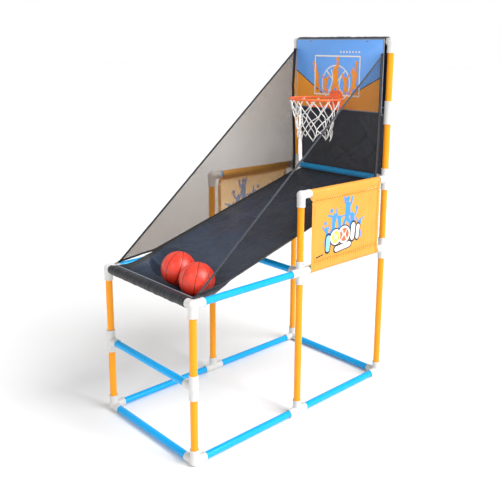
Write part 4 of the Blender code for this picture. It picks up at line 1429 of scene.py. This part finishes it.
def build_ball(name, centre, turn):
    shape = Shape()
    rings = 96
    rows = []
    for i in range(rings + 1):
        fall = math.pi * (i + 0.02) / (rings + 0.04)
        row = []
        for a in turns(160):
            p = Vector((math.sin(fall) * math.cos(a), math.sin(fall) * math.sin(a), math.cos(fall)))
            groove = 0.0009 * math.exp(-((seam_distance(p) * BALL_R / 0.0014) ** 2))
            row.append(p * (BALL_R - groove))
        rows.append(row)
    shape.grid(rows, around=True, caps=True)
    ball = piece(
        f"{name}_rubber", shape, RUBBER, body=name, replaces=[name], slot="ball_rubber", sharp=None
    )
    turned = aimed(centre, turn[0], math.radians(turn[1]))
    ball.matrix_world = turned
    bpy.context.view_layer.update()
    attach(ball, name)
    valve = Shape()
    axis = Vector((0.0, 0.24, 0.97))
    cup = [(0.0034, -0.0006), (0.0030, 0.0003), (0.0014, 0.0002), (0.0010, -0.0014)]
    valve.turned(cup, turned @ aimed(axis.normalized() * (BALL_R - 0.0001), axis), 24, closed=False)
    piece(f"{name}_valve", valve, DARK_STEEL, body=name, slot="ball_rubber")


# ---------------------------------------------------------------- floor, light and camera


def place_lamp(name, kind, power, along):
    light = bpy.data.lights.new(name, kind)
    light.energy = power
    lamp = added(name, light)
    lamp.rotation_euler = along.to_track_quat("-Z", "Y").to_euler()
    return lamp


def build_stage():
    mesh = bpy.data.meshes.new("floor")
    half = 60.0
    corners = [(x * half, y * half, 0) for x, y in ((-1, -1), (1, -1), (1, 1), (-1, 1))]
    mesh.from_pydata(corners, [], [(0, 1, 2, 3)])
    floor = added("floor", mesh)
    material = bpy.data.materials.new("pale_floor")
    material.use_nodes = True
    shader = material.node_tree.nodes["Principled BSDF"]
    shader.inputs["Base Color"].default_value = (0.93, 0.93, 0.93, 1)
    shader.inputs["Roughness"].default_value = 0.9
    mesh.materials.append(material)

    # A pale room: bright all round at eye height, dimmer overhead
    world = bpy.data.worlds.new("studio")
    world.use_nodes = True
    nodes, links = world.node_tree.nodes, world.node_tree.links
    split = nodes.new("ShaderNodeSeparateXYZ")
    links.new(nodes.new("ShaderNodeTexCoord").outputs["Generated"], split.inputs[0])
    fade = nodes.new("ShaderNodeMapRange")
    for index, value in enumerate((0.09, 0.34, 1.0, 0.50), 1):
        fade.inputs[index].default_value = value
    links.new(split.outputs["Z"], fade.inputs[0])
    links.new(fade.outputs[0], nodes["Background"].inputs["Strength"])
    nodes["Background"].inputs["Color"].default_value = (1, 1, 1, 1)
    bpy.context.scene.world = world

    sun = place_lamp("key", "SUN", SUN_STRENGTH, -Vector(SUN_FROM))
    sun.data.angle = math.radians(SUN_SPREAD)
    for name, (place, power) in LAMPS.items():
        lamp = place_lamp(name, "AREA", power, LAMP_AIM - Vector(place))
        lamp.data.size = LAMP_SIZE
        lamp.location = place


def build_camera():
    azimuth, elevation, roll = (math.radians(a) for a in (CAMERA_AZIMUTH, CAMERA_ELEVATION, CAMERA_ROLL))
    level = math.cos(elevation)
    forward = Vector((level * math.sin(azimuth), level * math.cos(azimuth), math.sin(elevation)))
    right = forward.cross(AXES["Z"]).normalized()
    up = right.cross(forward)
    turned_right = right * math.cos(roll) + up * math.sin(roll)
    turned_up = up * math.cos(roll) - right * math.sin(roll)
    camera = added("camera", bpy.data.cameras.new("camera"))
    axes = zip(turned_right, turned_up, -forward)
    camera.matrix_world = Matrix([(*row, place) for row, place in zip(axes, CAMERA_PLACE)] + [(0, 0, 0, 1)])
    camera.data.sensor_width = 36
    camera.data.lens = CAMERA_LENS
    camera.data.shift_x, camera.data.shift_y = CAMERA_SHIFT
    camera.data.clip_end = 60
    bpy.context.scene.camera = camera
    bpy.context.scene.view_settings.view_transform = "Standard"


build_frame()
build_cover()
for side, sign in SIDES.items():
    build_net(side, sign)
    build_panel(side, sign)
build_board()
build_rim()
build_hoop_net()
build_ball("front_ball", FRONT_BALL, ((-0.05, 0.26, 0.96), 80))
build_ball("rear_ball", REAR_BALL, ((0.02, 0.34, 0.94), 60))
build_stage()
build_camera()

bpy.context.view_layer.update()
